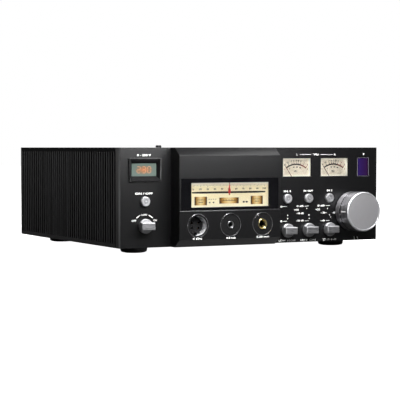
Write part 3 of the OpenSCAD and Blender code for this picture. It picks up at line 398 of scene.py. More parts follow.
printing = [
    lettering("0 - 250 V", -121.8, 95.7, 14.6, 2.0),
    lettering("ON / OFF", -121.9, 59.0, 18.4, 1.9),
    lettering("OFF", -132.5, 33.2, 4.8, 1.9),
    lettering("LOW", -121.6, 38.6, 5.8, 1.8),
    lettering("ON", -110.1, 33.2, 3.6, 1.7),
    stroke(-127.9, 37.1, 4.7, 0.75, lean=-35),
    stroke(-114.7, 36.9, 5.0, 0.75, lean=33),
    lettering("L", 49.7, 95.9, 1.1, 1.9),
    stroke(59.6, 95.9, 13.2, 0.28),
    lettering("VU", 72.3, 95.9, 6.2, 1.9),
    stroke(85.2, 95.9, 14.4, 0.28),
    lettering("R", 95.3, 95.9, 2.0, 2.0),
    lettering("IN 1", 38.2, 58.9, 7.8, 1.8),
    lettering("IN / OUT", 63.3, 58.9, 11.2, 1.8),
    lettering("IN 2", 89.0, 58.9, 6.6, 1.8),
    lettering("0", 31.2, 43.3, 2.2, 1.7),
    lettering("1", 31.2, 28.7, 1.6, 1.8),
    stroke(35.2, 43.5, 5.6, 0.35),
    stroke(35.4, 28.6, 5.2, 0.35),
    stroke(38.7, 34.5, 0.9, 1.2),
    stroke(38.7, 31.2, 0.9, 1.2),
    lettering("+10", 49.1, 39.9, 5.1, 2.0),
    lettering("0 dB", 53.5, 43.6, 8.2, 1.7),
    lettering("-10 dB", 53.6, 36.3, 8.4, 1.7),
    lettering("-20 dB", 53.5, 28.9, 8.6, 1.7),
    stroke(61.3, 43.5, 5.0, 0.35),
    stroke(61.3, 28.5, 5.0, 0.35),
    stroke(61.4, 41.0, 0.7, 0.9),
    stroke(64.1, 34.4, 0.9, 1.2),
    stroke(64.5, 30.9, 0.9, 1.0),
    lettering("+20", 74.7, 39.8, 5.3, 2.0),
    lettering("0 dB", 78.7, 43.6, 8.6, 1.7),
    lettering("-3", 80.6, 36.3, 5.0, 1.7),
    lettering("-6", 80.7, 28.3, 5.3, 1.7),
    stroke(86.9, 43.5, 5.4, 0.35),
    stroke(84.9, 36.3, 2.0, 0.35),
    stroke(86.8, 28.2, 4.4, 0.35),
    stroke(86.7, 40.5, 0.6, 1.6, lean=12),
    stroke(89.0, 33.9, 0.7, 1.4, lean=-30),
    stroke(90.3, 31.6, 0.6, 1.2, lean=20),
    lettering("-10 dB", 96.0, 36.1, 7.4, 1.7),
    lettering("+3", 100.2, 39.7, 5.3, 2.0),
    lettering("LOW", 32.5, 9.2, 8.2, 1.9),
    lettering("HIGH", 42.9, 9.1, 9.4, 1.7),
    lettering("OFF", 58.4, 8.9, 8.6, 1.9),
    lettering("ON", 68.3, 8.9, 7.4, 1.9),
    lettering("20 dB", 85.1, 8.7, 8.2, 1.8),
    lettering("0 dB", 94.1, 8.7, 6.6, 1.8),
    stroke(119.6, 9.5, 1.0, 3.2, lean=-8),
    stroke(123.6, 9.4, 1.2, 3.0, lean=-24),
]
gather("panel_printing", printing, ink)

# Switches and volume control: moulded bodies on the boards behind the panel, each with a steel shaft
# that a knob pushes on to. Only their bushings come forward into the panel's holes.
# Glass-filled DAP: slate blue, with pale fibres showing in the surface.
dap = mottled("glass-filled blue DAP moulding", {"Scale": 1100.0, "Detail": 4.0, "Distortion": 1.2},
              [(0.35, "#25323f"), (0.72, "#3c4e60")], {"IOR": 1.55, "Roughness": 0.5})
paint(dap, "rotary_switches", "volume_control")
paint(epoxy, "board_switches")

# Ground stainless steel: cool grey with grinding lines round the shaft, drawn 0.8 mm apart.
ground, tree, place = start("ground stainless steel shaft")
feed = add(tree, "TexWave", {"Vector": place, "Scale": 400.0, "Distortion": 0.6}, bands_direction="Y")
tone = add(tree, "ValToRGB", {"Fac": feed.outputs["Fac"]}, [(0.2, "#86888a"), (0.8, "#a2a4a6")])
relief = add(tree, "Bump", {"Strength": 0.1, "Distance": 0.00003, "Height": feed.outputs["Fac"]})
skin = add(tree, "BsdfPrincipled", {"Base Color": tone.outputs["Color"], "Metallic": 1.0, "Roughness": 0.28,
                                    "Normal": relief.outputs["Normal"]})
add(tree, "OutputMaterial", {"Surface": skin.outputs[0]})
paint(ground, "shaft_1", "shaft_2", "shaft_3", "shaft_4", "volume_shaft")

# Level meters: a moving coil in a black moulded case behind a milled window, with a printed card
# lit from behind and a flat needle of painted aluminium strip in front of it.
# Moulded ABS: satin black, its fine spark-eroded texture drawn at 0.7 mm so that it still shows.
abs_plastic, tree, place = start("moulded black ABS")
grain = add(tree, "TexNoise", {"Vector": place, "Scale": 1400.0, "Detail": 3.0, "Roughness": 0.6})
tone = add(tree, "ValToRGB", {"Fac": grain.outputs["Fac"]}, [(0.35, "#101011"), (0.65, "#171718")])
gloss = add(tree, "MapRange", {"Value": grain.outputs["Fac"], "To Min": 0.3, "To Max": 0.48})
edge = add(tree, "Bevel", {"Radius": 0.0004}, samples=4)
relief = add(tree, "Bump", {"Strength": 0.2, "Distance": 0.00005, "Height": grain.outputs["Fac"],
                            "Normal": edge.outputs["Normal"]})
skin = add(tree, "BsdfPrincipled", {"Base Color": tone.outputs["Color"], "IOR": 1.53,
                                    "Specular IOR Level": 0.38, "Roughness": gloss.outputs["Result"],
                                    "Normal": relief.outputs["Normal"]})
add(tree, "OutputMaterial", {"Surface": skin.outputs[0]})
paint(abs_plastic, "vu_cases")
METERS = (49.7, 94.9)
METER_Z = 82.9
PIVOT_Z = 65.8
WINDOW_HALF_W = 16.5
WINDOW_HALF_H = 9.2
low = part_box("vu_scales")[0]
CARD_FACE = low.y / MM


def edge_share(tree, across, up, half_wide, half_high):
    """How far a point lies out in a rectangle: 0 in its middle and 1 on its edge."""
    shares = []
    for offset, half in ((across, half_wide), (up, half_high)):
        distance = add(tree, "Math", {0: offset.outputs[0]}, operation="ABSOLUTE")
        shares.append(add(tree, "Math", {0: distance.outputs[0], 1: half}, operation="DIVIDE"))
    return add(tree, "Math", {0: shares[0].outputs[0], 1: shares[1].outputs[0]}, operation="MAXIMUM")


# Meter card: ivory enamel on a translucent sheet. The lamp behind is hidden by the movement, so the
# light comes through whitest along the edges of each window.
card, tree, place = start("ivory meter card lit from behind")
fibre = add(tree, "TexNoise", {"Vector": place, "Scale": 420.0, "Detail": 4.0})
soft = add(tree, "TexNoise", {"Vector": place, "Scale": 90.0, "Detail": 1.0})
axes = add(tree, "SeparateXYZ", {"Vector": place})
between = add(tree, "Math", {0: axes.outputs["X"], 1: sum(METERS) / 2 * MM}, operation="SUBTRACT")
beside = add(tree, "Math", {0: between.outputs[0]}, operation="ABSOLUTE")
across = add(tree, "Math", {0: beside.outputs[0], 1: (METERS[1] - METERS[0]) / 2 * MM},
             operation="SUBTRACT")
upward = add(tree, "Math", {0: axes.outputs["Z"], 1: METER_Z * MM}, operation="SUBTRACT")
share = edge_share(tree, across, upward, WINDOW_HALF_W * MM, WINDOW_HALF_H * MM)
rim = add(tree, "MapRange", {"Value": share.outputs[0], "From Min": 0.72, "From Max": 1.0})
tone = add(tree, "ValToRGB", {"Fac": fibre.outputs["Fac"]}, [(0.3, "#dccdb6"), (0.7, "#efe4d2")])
both = add(tree, "Mix", {"Factor": rim.outputs["Result"], 6: tone.outputs["Color"], 7: linear("#fff8e6")},
           data_type="RGBA")
glow = add(tree, "MapRange", {"Value": soft.outputs["Fac"], "From Min": 0.3, "From Max": 0.7, "To Min": 0.22,
                              "To Max": 0.38})
lamp = add(tree, "Math", {0: rim.outputs["Result"], 1: 0.16, 2: glow.outputs["Result"]},
           operation="MULTIPLY_ADD")
skin = add(tree, "BsdfPrincipled", {"Base Color": both.outputs[2], "IOR": 1.5, "Roughness": 0.6,
                                    "Emission Color": both.outputs[2], "Emission Strength": lamp.outputs[0]})
add(tree, "OutputMaterial", {"Surface": skin.outputs[0]})
paint(card, "vu_scales")


def arc(x, z, radius, wide, start_angle, end_angle, face):
    """A printed arc about (x, z), its angles in degrees clockwise from upright."""
    bpy.ops.mesh.primitive_cube_add(size=1)
    piece = bpy.context.object
    piece.data.transform(
        Matrix.Translation(Vector((x, face, z)) * MM)
        @ Matrix.Rotation(math.radians(start_angle), 4, "Y")
        @ Matrix.Translation((0, 0, radius * MM))
        @ Matrix.Diagonal((0.02 * MM, INK_DEPTH * MM, wide * MM, 1.0)))
    bpy.ops.object.mode_set(mode="EDIT")
    bpy.ops.mesh.select_mode(type="FACE")
    bpy.ops.mesh.select_all(action="DESELECT")
    bpy.ops.object.mode_set(mode="OBJECT")
    ahead = Matrix.Rotation(math.radians(start_angle), 3, "Y") @ Vector((1, 0, 0))
    for side in piece.data.polygons:
        side.select = side.normal.dot(ahead) > 0.9
    bpy.ops.object.mode_set(mode="EDIT")
    bpy.ops.mesh.extrude_region()
    steps = max(4, round((end_angle - start_angle) / 4))
    for step in range(steps):
        bpy.ops.transform.rotate(value=-math.radians((end_angle - start_angle) / steps), orient_axis="Y",
                                 center_override=Vector((x, face, z)) * MM)
        if step < steps - 1:
            bpy.ops.mesh.extrude_region()
    bpy.ops.object.mode_set(mode="OBJECT")
    return piece


# Scale ink: warm black, the same screen-printed epoxy as on the panel.
black_ink = mottled("black screen-printed ink", {"Scale": 2000.0, "Detail": 2.0},
                    [(0.3, "#0b0806"), (0.7, "#1c140d")], {"IOR": 1.5, "Roughness": 0.55})

# Red ink: the same print for the overload end of each scale. It stops the lamp's light, so it stays dull.
red_ink = mottled("red screen-printed ink", {"Scale": 2000.0, "Detail": 2.0},
                  [(0.3, "#6e2616"), (0.7, "#8a331e")], {"IOR": 1.5, "Roughness": 0.55})

ARC_R = 20.2
TICK_R = 21.5
FIGURE_R = 23.9
PERCENT_R = 17.4
dark_marks = []
red_marks = []
for x in METERS:
    dark_marks.append(arc(x, PIVOT_Z, ARC_R, 1.3, -35, 14, CARD_FACE))
    red_marks.append(arc(x, PIVOT_Z, ARC_R, 1.2, 14, 36, CARD_FACE))
    for angle, number, marks in (
            (-34, "20", dark_marks), (-24, "10", dark_marks), (-13, "7", dark_marks), (-6, "5", dark_marks),
            (1, "3", dark_marks), (7, "1", dark_marks), (14, "0", dark_marks), (24, "2", red_marks),
            (35, "3", red_marks)):
        turn = math.radians(angle)
        marks.append(stroke(x + TICK_R * math.sin(turn), PIVOT_Z + TICK_R * math.cos(turn), 0.5, 1.7,
                            CARD_FACE, angle))
        marks.append(lettering(number, x + FIGURE_R * math.sin(turn), PIVOT_Z + FIGURE_R * math.cos(turn),
                               1.05 * len(number), 1.6, CARD_FACE))
    for angle, number in ((-26, "0"), (-9, "40"), (4, "60"), (17, "80")):
        turn = math.radians(angle)
        dark_marks.append(lettering(number, x + PERCENT_R * math.sin(turn),
                                    PIVOT_Z + PERCENT_R * math.cos(turn), 1.0 * len(number), 1.5, CARD_FACE))
    dark_marks.append(lettering("VU", x - 0.6, 78.9, 3.8, 1.9, CARD_FACE))
    for side in (-14.0, 14.0):
        red_marks.append(stroke(x + side, 80.9, 0.5, 1.3, CARD_FACE))
gather("meter_scale_marks", dark_marks, black_ink)
gather("meter_red_marks", red_marks, red_ink)

# Needles: painted aluminium strip 0.3 mm thick on a plastic hub.
lacquer = mottled("dark red lacquer on aluminium strip", {"Scale": 1500.0},
                  [(0.3, "#6a2016"), (0.7, "#84291d")], {"IOR": 1.5, "Roughness": 0.35})
paint(lacquer, "vu_needle_left", "vu_needle_right")

# Clear acrylic: cast sheet with fine hairline scratches that only catch the light at a slant.
acrylic, tree, place = start("clear cast acrylic")
hairlines = add(tree, "TexNoise", {"Vector": place, "Scale": 300.0, "Detail": 3.0, "Distortion": 2.0})
gloss = add(tree, "MapRange", {"Value": hairlines.outputs["Fac"], "To Min": 0.0, "To Max": 0.05})
skin = add(tree, "BsdfPrincipled", {"Base Color": linear("#f4f6f6"), "IOR": 1.49, "Transmission Weight": 1.0,
                                    "Roughness": gloss.outputs["Result"]})
add(tree, "OutputMaterial", {"Surface": skin.outputs[0]})
paint(acrylic, "vu_lenses")

# Small display: a milled and anodised aluminium frame pushed into the panel, sloping in to a
# glass-fronted module that shows the mains voltage in orange digits.
frame_piece = round_off("display_frame", 0.3, blasted)
# Painted shade: the four slopes inside the frame are coated near-black and matt, for the shade that falls in
# them.
painted_shade_black = mottled("matt black painted shade", {"Scale": 1200.0, "Detail": 3.0},
                     [(0.3, "#030303"), (0.7, "#070708")],
                     {"IOR": 1.5, "Specular IOR Level": 0.1, "Roughness": 0.7})
low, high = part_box("display_frame")
frame_rim = 1.2 * MM
coat(frame_piece, painted_shade_black, lambda side: side.normal.y > -0.9
     and low.z + frame_rim < side.center.z < high.z - frame_rim
     and low.x + frame_rim < side.center.x < high.x - frame_rim)
low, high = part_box("volt_display")
glass = (low + high) / 2
GLOW_HALF_W = 0.011
GLOW_HALF_H = 0.0052
# Display glass: grey-green filter that mirrors the room. A painted glow: orange round the lit digits, and
# grey-green further out as a painted reflection.
filter_glass, tree, place = start("grey-green filter glass over a lit display")
centred = add(tree, "Mapping", {"Vector": place,
                                "Location": (-glass.x / GLOW_HALF_W, 0.0, -glass.z / GLOW_HALF_H),
                                "Scale": (1 / GLOW_HALF_W, 0.0, 1 / GLOW_HALF_H)})
away = add(tree, "VectorMath", {0: centred.outputs["Vector"]}, operation="LENGTH")
blotch = add(tree, "TexNoise", {"Vector": place, "Scale": 150.0, "Detail": 2.0})
far = add(tree, "Math", {0: blotch.outputs["Fac"], 1: 0.25, 2: away.outputs["Value"]},
          operation="MULTIPLY_ADD")
tone = add(tree, "ValToRGB", {"Fac": far.outputs[0]}, [(0.2, "#845538"), (0.75, "#5c5344"), (1.0, "#4a5550")])
skin = add(tree, "BsdfPrincipled", {"Base Color": tone.outputs["Color"], "IOR": 1.52, "Roughness": 0.12,
                                    "Emission Color": tone.outputs["Color"], "Emission Strength": 0.3})
add(tree, "OutputMaterial", {"Surface": skin.outputs[0]})
paint(filter_glass, "volt_display")

# Lit digits: three figures of seven straight segments each, printed masks over small orange lamps.
segments = {
    "0": ((0, 1), (1, 0.5), (1, -0.5), (0, -1), (-1, -0.5), (-1, 0.5)),
    "2": ((0, 1), (1, 0.5), (0, 0), (-1, -0.5), (0, -1)),
    "3": ((0, 1), (1, 0.5), (0, 0), (1, -0.5), (0, -1)),
}
DIGIT_PITCH = 5.6
DIGIT_HALF_W = 1.7
DIGIT_HALF_H = 3.0
BAR = 0.55
lit = []
digit_face = low.y / MM
for k, digit in enumerate("230"):
    middle = glass.x / MM + (k - 1) * DIGIT_PITCH
    for dx, dz in segments[digit]:
        wide, tall = (2.7, BAR) if dx == 0 else (BAR, 2.4)
        lit.append(stroke(middle + dx * DIGIT_HALF_W, glass.z / MM + dz * DIGIT_HALF_H, wide, tall,
                          digit_face))
orange = mottled("orange light-emitting segments", {"Scale": 900.0},
                 [(0.3, "#8a5a3c"), (0.7, "#946242")], {"Roughness": 0.5}, glow=0.22)
gather("display_digits", lit, orange)

# Remote window: a tile of dyed acrylic glued into a shallow pocket, dark to the eye and clear to the
# remote control's light. A fine printed border frames it and a white dot marks it from above.
low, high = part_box("remote_window")
window = (low + high) / 2
TILE_HALF_W = 6.0
TILE_HALF_H = 8.9
BORDER_X = 6.95
BORDER_Z = 9.5
# Dyed acrylic: deep indigo with a faint painted glow, darker towards the right as painted shade, its rim
# drawn near black.
indigo, tree, place = start("indigo dyed acrylic")
axes = add(tree, "SeparateXYZ", {"Vector": place})
side = add(tree, "MapRange", {"Value": axes.outputs["X"], "From Min": low.x, "From Max": high.x})
tone = add(tree, "ValToRGB", {"Fac": side.outputs["Result"]}, [(0.1, "#1e1240"), (0.9, "#200d2b")])
across = add(tree, "Math", {0: axes.outputs["X"], 1: window.x}, operation="SUBTRACT")
upward = add(tree, "Math", {0: axes.outputs["Z"], 1: window.z}, operation="SUBTRACT")
share = edge_share(tree, across, upward, TILE_HALF_W * MM, TILE_HALF_H * MM)
margin = add(tree, "MapRange", {"Value": share.outputs[0], "From Min": 0.97, "From Max": 1.03})
both = add(tree, "Mix", {"Factor": margin.outputs["Result"], 6: tone.outputs["Color"], 7: linear("#060508")},
           data_type="RGBA")
skin = add(tree, "BsdfPrincipled", {"Base Color": both.outputs[2], "IOR": 1.49, "Roughness": 0.14,
                                    "Emission Color": both.outputs[2], "Emission Strength": 0.12})
add(tree, "OutputMaterial", {"Surface": skin.outputs[0]})
paint(indigo, "remote_window")
x, z = window.x / MM, window.z / MM
face = low.y / MM
border = [stroke(x - BORDER_X, z, 0.5, 19.4, face), stroke(x + BORDER_X, z, 0.5, 19.4, face),
          stroke(x, z + BORDER_Z, 13.4, 0.3, face), stroke(x, z - BORDER_Z, 13.4, 0.3, face)]
# Grey ink: the same epoxy, thinned, so that the black shows through it.
grey_ink = mottled("grey screen-printed ink", {"Scale": 2000.0}, [(0.3, "#56545e"), (0.7, "#6a6772")],
                   {"Roughness": 0.5})
gather("remote_window_border", border, grey_ink)
bpy.ops.mesh.primitive_uv_sphere_add(segments=24, ring_count=12, radius=0.9 * MM,
                                     location=(130.8 * MM, FRONT * MM, 96.2 * MM), scale=(1.0, 0.35, 1.0))
dot = bpy.context.object
bpy.ops.object.transform_apply(location=True, rotation=True, scale=True)
bpy.ops.object.shade_smooth()
gather("remote_window_dot", [dot], ink)

# Raised section: a five-sided aluminium shell milled from one block, anodised like the panel, and
# screwed on from behind through four bosses.
round_off("centre_bezel", 0.4, blasted)
low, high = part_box("centre_bezel")
FACE = -149.5
SILL_Z = 41.7


def bevelled_block(centre, size, bevel, segments):
    """A block of a size about its centre, both in metres, with its edges bevelled by bevel mm."""
    bpy.ops.mesh.primitive_cube_add(size=1, location=centre, scale=size)
    piece = bpy.context.object
    bpy.ops.object.transform_apply(location=True, rotation=True, scale=True)
    bpy.ops.object.mode_set(mode="EDIT")
    bpy.ops.mesh.select_all(action="SELECT")
    bpy.ops.mesh.bevel(offset=bevel * MM, segments=segments)
    bpy.ops.object.mode_set(mode="OBJECT")
    return piece


# Sill: a thin ledge below the dial, left standing in the milling and finished like the panel's edge, with its
# painted highlight.
sill = bevelled_block(((low.x + high.x) / 2, (FACE - 0.05) * MM, SILL_Z * MM),
                      (high.x - low.x - 0.6 * MM, 0.6 * MM, 1.1 * MM), 0.25, 3)
bpy.ops.object.shade_smooth_by_angle(angle=math.radians(35))
gather("dial_sill", [sill], milled)

# Lit scale: a card of cream acrylic on a white lamp box, with three amber windows let into it.
# The pointer hangs from a steel rail above and slides across it on a loop of cord.
# White ABS: the lamp box, plain and matt, so that it spreads the light.
white_abs = mottled("matt white ABS", {"Scale": 1200.0}, [(0.3, "#dcdcd8"), (0.7, "#ececea")],
                    {"IOR": 1.53, "Roughness": 0.6})
paint(white_abs, "dial_lamp_box")
paint(ground, "pointer_rail")
paint(epoxy, "pointer_drive")

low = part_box("dial_plate")[0]
DIAL_X = -37.3
DIAL_Z = 57.2
DIAL_HALF_H = 12
DIAL_FACE = low.y / MM
# Cream acrylic: lit from behind by two strips, so it is nearly white along its edges and deeper
# cream in the middle of its height.
cream, tree, place = start("cream acrylic lit from behind")
axes = add(tree, "SeparateXYZ", {"Vector": place})
up = add(tree, "MapRange", {"Value": axes.outputs["Z"], "From Min": (DIAL_Z - DIAL_HALF_H) * MM,
                            "From Max": (DIAL_Z + DIAL_HALF_H) * MM})
tone = add(tree, "ValToRGB", {"Fac": up.outputs["Result"]}, [
    (0.0, "#fffaea"), (0.1, "#fdf0d2"), (0.45, "#ecdcb8"), (0.8, "#dccba6"), (0.93, "#f8efdc"),
    (1.0, "#fffdf6")])
cloud = add(tree, "TexNoise", {"Vector": place, "Scale": 40.0, "Detail": 2.0})
lamp = add(tree, "MapRange", {"Value": cloud.outputs["Fac"], "From Min": 0.3, "From Max": 0.7, "To Min": 0.54,
                              "To Max": 0.68})
skin = add(tree, "BsdfPrincipled", {"Base Color": linear("#d8cba6"), "IOR": 1.49, "Roughness": 0.5,
                                    "Emission Color": tone.outputs["Color"],
                                    "Emission Strength": lamp.outputs["Result"]})
add(tree, "OutputMaterial", {"Surface": skin.outputs[0]})
paint(cream, "dial_plate")

# Amber windows: barrel-shaped tiles of amber acrylic, lit from behind. Their colour and glow are painted
# brightest in the middle and nearly brown at their two ends, a painted shade where they dip away behind the
# card.
SIDE_TILE_X = 31.2
SIDE_TILE_FROM = 20.0
MIDDLE_TILE_HALF_W = 10.8
SIDE_TILE_HALF_W = 6.8
amber, tree, place = start("amber acrylic lit from behind")
axes = add(tree, "SeparateXYZ", {"Vector": place})
offset = add(tree, "Math", {0: axes.outputs["X"], 1: DIAL_X * MM}, operation="SUBTRACT")
out = add(tree, "Math", {0: offset.outputs[0]}, operation="ABSOLUTE")
outer = add(tree, "Math", {0: out.outputs[0], 1: SIDE_TILE_FROM * MM}, operation="GREATER_THAN")
from_side = add(tree, "Math", {0: out.outputs[0], 1: SIDE_TILE_X * MM}, operation="SUBTRACT")
side_out = add(tree, "Math", {0: from_side.outputs[0]}, operation="ABSOLUTE")
near = add(tree, "Math", {0: out.outputs[0], 1: MIDDLE_TILE_HALF_W * MM}, operation="DIVIDE")
near_side = add(tree, "Math", {0: side_out.outputs[0], 1: SIDE_TILE_HALF_W * MM}, operation="DIVIDE")
share = add(tree, "Mix", {"Factor": outer.outputs[0], 2: near.outputs[0], 3: near_side.outputs[0]})
# Painted shade: the tone, which also drives the glow, darkens from the middle of each tile to its ends.
tone = add(tree, "ValToRGB", {"Fac": share.outputs[0]}, [
    (0.0, "#e0c894"), (0.4, "#cca868"), (0.68, "#9c6e2e"), (0.84, "#4e2c08"), (1.0, "#2a1604")])
skin = add(tree, "BsdfPrincipled", {"Base Color": tone.outputs["Color"], "IOR": 1.49, "Roughness": 0.3,
                                    "Emission Color": tone.outputs["Color"], "Emission Strength": 0.42})
add(tree, "OutputMaterial", {"Surface": skin.outputs[0]})
paint(amber, "tuning_windows")

# Scale printing: numbers from 0 to 100, a tick to each two, the base rule and a few plain marks.
FIGURE_PITCH = 7.92
TICK_PITCH = 1.584
TICK_TOP = 67.0
scale = [stroke(DIAL_X, 59.5, 81.6, 1.9, DIAL_FACE)]
for k in range(11):
    number = str(k * 10)
    scale.append(lettering(number, DIAL_X + (k - 5) * FIGURE_PITCH, 62.8, 1.3 * len(number), 1.8, DIAL_FACE))
for k in range(51):
    tall = 2.0 if k % 5 == 0 else 1.2
    scale.append(stroke(DIAL_X + (k - 25) * TICK_PITCH, TICK_TOP - tall / 2, 0.25, tall, DIAL_FACE))
for k in range(4):
    scale.append(stroke(-59.4 + k * 2.4, 53.0, 1.2, 0.5, DIAL_FACE))
for x in (-58.9, -54.6):
    scale.append(stroke(x, 49.8, 1.5, 1.3, DIAL_FACE))
for x in (-20.9, -17.6):
    scale.append(stroke(x, 49.9, 2.3, 1.6, DIAL_FACE))
gather("dial_scale_marks", scale, black_ink)

# Window marks: fine scales on the face of each amber window, with a short needle line.
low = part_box("tuning_windows")[0]
tile_face = low.y / MM
marks = []
for middle in (DIAL_X - SIDE_TILE_X, DIAL_X + SIDE_TILE_X):
    for k in range(6):
        marks.append(stroke(middle - 3.5 + k * 1.4, 52.6, 0.4, 1.4, tile_face))
    marks.append(stroke(middle, 50.2, 5.4, 0.5, tile_face))
marks.append(stroke(DIAL_X, 51.4, 17.0, 0.5, tile_face))
for k in range(5):
    marks.append(stroke(DIAL_X + (k - 2) * 3.2, 52.2, 0.45, 1.4, tile_face))
# Brown ink: thin enough for the lamp behind to shine through it a little.
brown_ink = mottled("brown screen-printed ink", {"Scale": 2000.0}, [(0.3, "#4a2c0a"), (0.7, "#5e3c12")],
                    {"Roughness": 0.5}, glow=0.3)
gather("tuning_window_marks", marks, brown_ink)

# Pointer: red polystyrene, moulded with its carriage in one piece.
red = mottled("red polystyrene", {"Scale": 400.0}, [(0.3, "#a81d1c"), (0.7, "#c42a26")],
              {"IOR": 1.59, "Roughness": 0.3})
paint(red, "dial_pointer")
low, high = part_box("dial_pointer")
TAB_Z = 60.6
tab = bevelled_block(((low.x + high.x) / 2, low.y + 0.15 * MM, TAB_Z * MM), (2.4 * MM, 0.6 * MM, 4.2 * MM),
                     0.2, 3)
gather("pointer_tab", [tab], red, "pointer")

# Dial glass: a clear acrylic window behind a band of black acrylic, polished and glued into a step
# milled in the raised section.
paint(acrylic, "dial_lens")
# Polished black acrylic: deep and glossy, with faint smears left by the polishing.
gloss_black = mottled("polished black acrylic", {"Scale": 60.0, "Detail": 4.0, "Distortion": 1.0},
                      [(0.3, "#050506"), (0.7, "#09090b")], {"IOR": 1.49}, gloss=(0.08, 0.2))
paint(gloss_black, "dial_mask")

# Headphone sockets: a four-pin socket in a bright zinc shell and two jacks with metal collars, each
# seated in a round recess of the raised section and soldered to a board behind it.
# Satin nickel: tumbled and plated, on the line sockets, the contact pins and the middle collar.
nickel = mottled("satin nickel on diecast zinc", {"Scale": 900.0, "Detail": 3.0},
                 [(0.3, "#9a9a9c"), (0.7, "#b4b4b6")], {"Metallic": 1.0}, gloss=(0.2, 0.36))
paint(nickel, "rear_sockets", "contact_pins")
# Diecast zinc, nickel plated: left matt from the die, so the shell's bore spreads light. Its flange is
# painted black.
masked, tree, place = start("cast nickel with a black painted flange")
tumble = add(tree, "TexNoise", {"Vector": place, "Scale": 900.0, "Detail": 3.0})
tone = add(tree, "ValToRGB", {"Fac": tumble.outputs["Fac"]}, [(0.3, "#c8c8ca"), (0.7, "#e0e0e2")])
facing = add(tree, "SeparateXYZ", {"Vector": add(tree, "NewGeometry").outputs["Normal"]})
flange = add(tree, "Math", {0: facing.outputs["Y"], 1: -0.8}, operation="LESS_THAN")
both = add(tree, "Mix", {"Factor": flange.outputs[0], 6: tone.outputs["Color"], 7: linear("#0c0c0d")},
           data_type="RGBA")
metal = add(tree, "Math", {0: flange.outputs[0], 1: -0.45, 2: 0.45}, operation="MULTIPLY_ADD")
gloss = add(tree, "MapRange", {"Value": tumble.outputs["Fac"], "To Min": 0.34, "To Max": 0.46})
skin = add(tree, "BsdfPrincipled", {"Base Color": both.outputs[2], "Metallic": metal.outputs[0],
                                    "Specular IOR Level": 0.3, "Roughness": gloss.outputs["Result"]})
add(tree, "OutputMaterial", {"Surface": skin.outputs[0]})
paint(masked, "xlr_socket")
# Diallyl phthalate: the black insert of the four contacts and the jack bodies, matt with a fine grain.
insert_black = mottled("matt black insert moulding", {"Scale": 1500.0, "Detail": 4.0},
                       [(0.3, "#050506"), (0.7, "#0d0d0e")],
                       {"IOR": 1.55, "Specular IOR Level": 0.2, "Roughness": 0.5})
paint(insert_black, "xlr_insert", "phone_jacks")


def turned_ring(x, z, profile, steps=64):
    """A closed ring turned to a profile of (radius, y) millimetre points round a fore-and-aft axis."""
    radius, y = profile[0]
    bpy.ops.mesh.primitive_circle_add(
        vertices=steps, radius=radius * MM, fill_type="NOTHING", location=(x * MM, y * MM, z * MM),
        rotation=(math.radians(90), 0.0, 0.0))
    piece = bpy.context.object
    bpy.ops.object.transform_apply(location=True, rotation=True, scale=True)
    bpy.ops.object.mode_set(mode="EDIT")
    bpy.ops.mesh.select_mode(type="EDGE")
    bpy.ops.mesh.select_all(action="SELECT")
    for next_radius, next_y in profile[1:]:
        bpy.ops.mesh.extrude_region_move(TRANSFORM_OT_translate={"value": (0.0, (next_y - y) * MM, 0.0)})
        bpy.ops.transform.resize(value=(next_radius / radius, 1.0, next_radius / radius),
                                 center_override=(x * MM, next_y * MM, z * MM))
        radius, y = next_radius, next_y
    bpy.ops.mesh.select_all(action="DESELECT")
    bpy.ops.mesh.select_non_manifold()
    bpy.ops.mesh.bridge_edge_loops()
    bpy.ops.mesh.select_all(action="SELECT")
    bpy.ops.mesh.normals_make_consistent(inside=False)
    bpy.ops.object.mode_set(mode="OBJECT")
    bpy.ops.object.shade_smooth_by_angle(angle=math.radians(30))
    return piece


# Bright lip: each recess ends in a thin raised lip, cut with a diamond tool after anodising.
trim = mottled("diamond-cut bare aluminium edge", {"Scale": 1100.0},
               [(0.3, "#9c9c9f"), (0.7, "#b6b6b9")], {"Metallic": 1.0}, gloss=(0.2, 0.3))
low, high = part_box("xlr_socket")
SOCKET_PITCH = 36.0
SOCKETS = [((low.x + high.x) / 2 / MM) + k * SOCKET_PITCH for k in range(3)]
SOCKET_Z = (low.z + high.z) / 2 / MM
LIP = ((11.5, FACE + 0.1), (11.45, FACE - 0.08), (11.2, FACE - 0.34), (11.05, FACE - 0.34),
       (10.85, FACE - 0.05), (10.85, FACE + 0.35), (11.1, FACE + 0.35))
gather("socket_lips", [turned_ring(x, SOCKET_Z, LIP) for x in SOCKETS], trim)

# Collars: turned brass, their mouths coned at 40 degrees to guide the plug in. The middle one is
# nickel plated.
collars = []
for x, outer, bore, cone in ((SOCKETS[1], 3.5, 2.25, 0.75), (SOCKETS[2], 5.1, 3.25, 1.2)):
    collars.append(turned_ring(x, SOCKET_Z, (
        (outer, FACE + 7.8), (outer, FACE - 0.2), (outer - 0.2, FACE - 0.4), (bore + cone, FACE - 0.4),
        (bore, FACE - 0.4 + cone * 1.2), (bore, FACE + 7.8))))
collar_piece = gather("jack_collars_finished", collars, brass)
between_jacks = (SOCKETS[1] + SOCKETS[2]) / 2 * MM
coat(collar_piece, nickel, lambda side: side.center.x < between_jacks)
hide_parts("jack_collars")

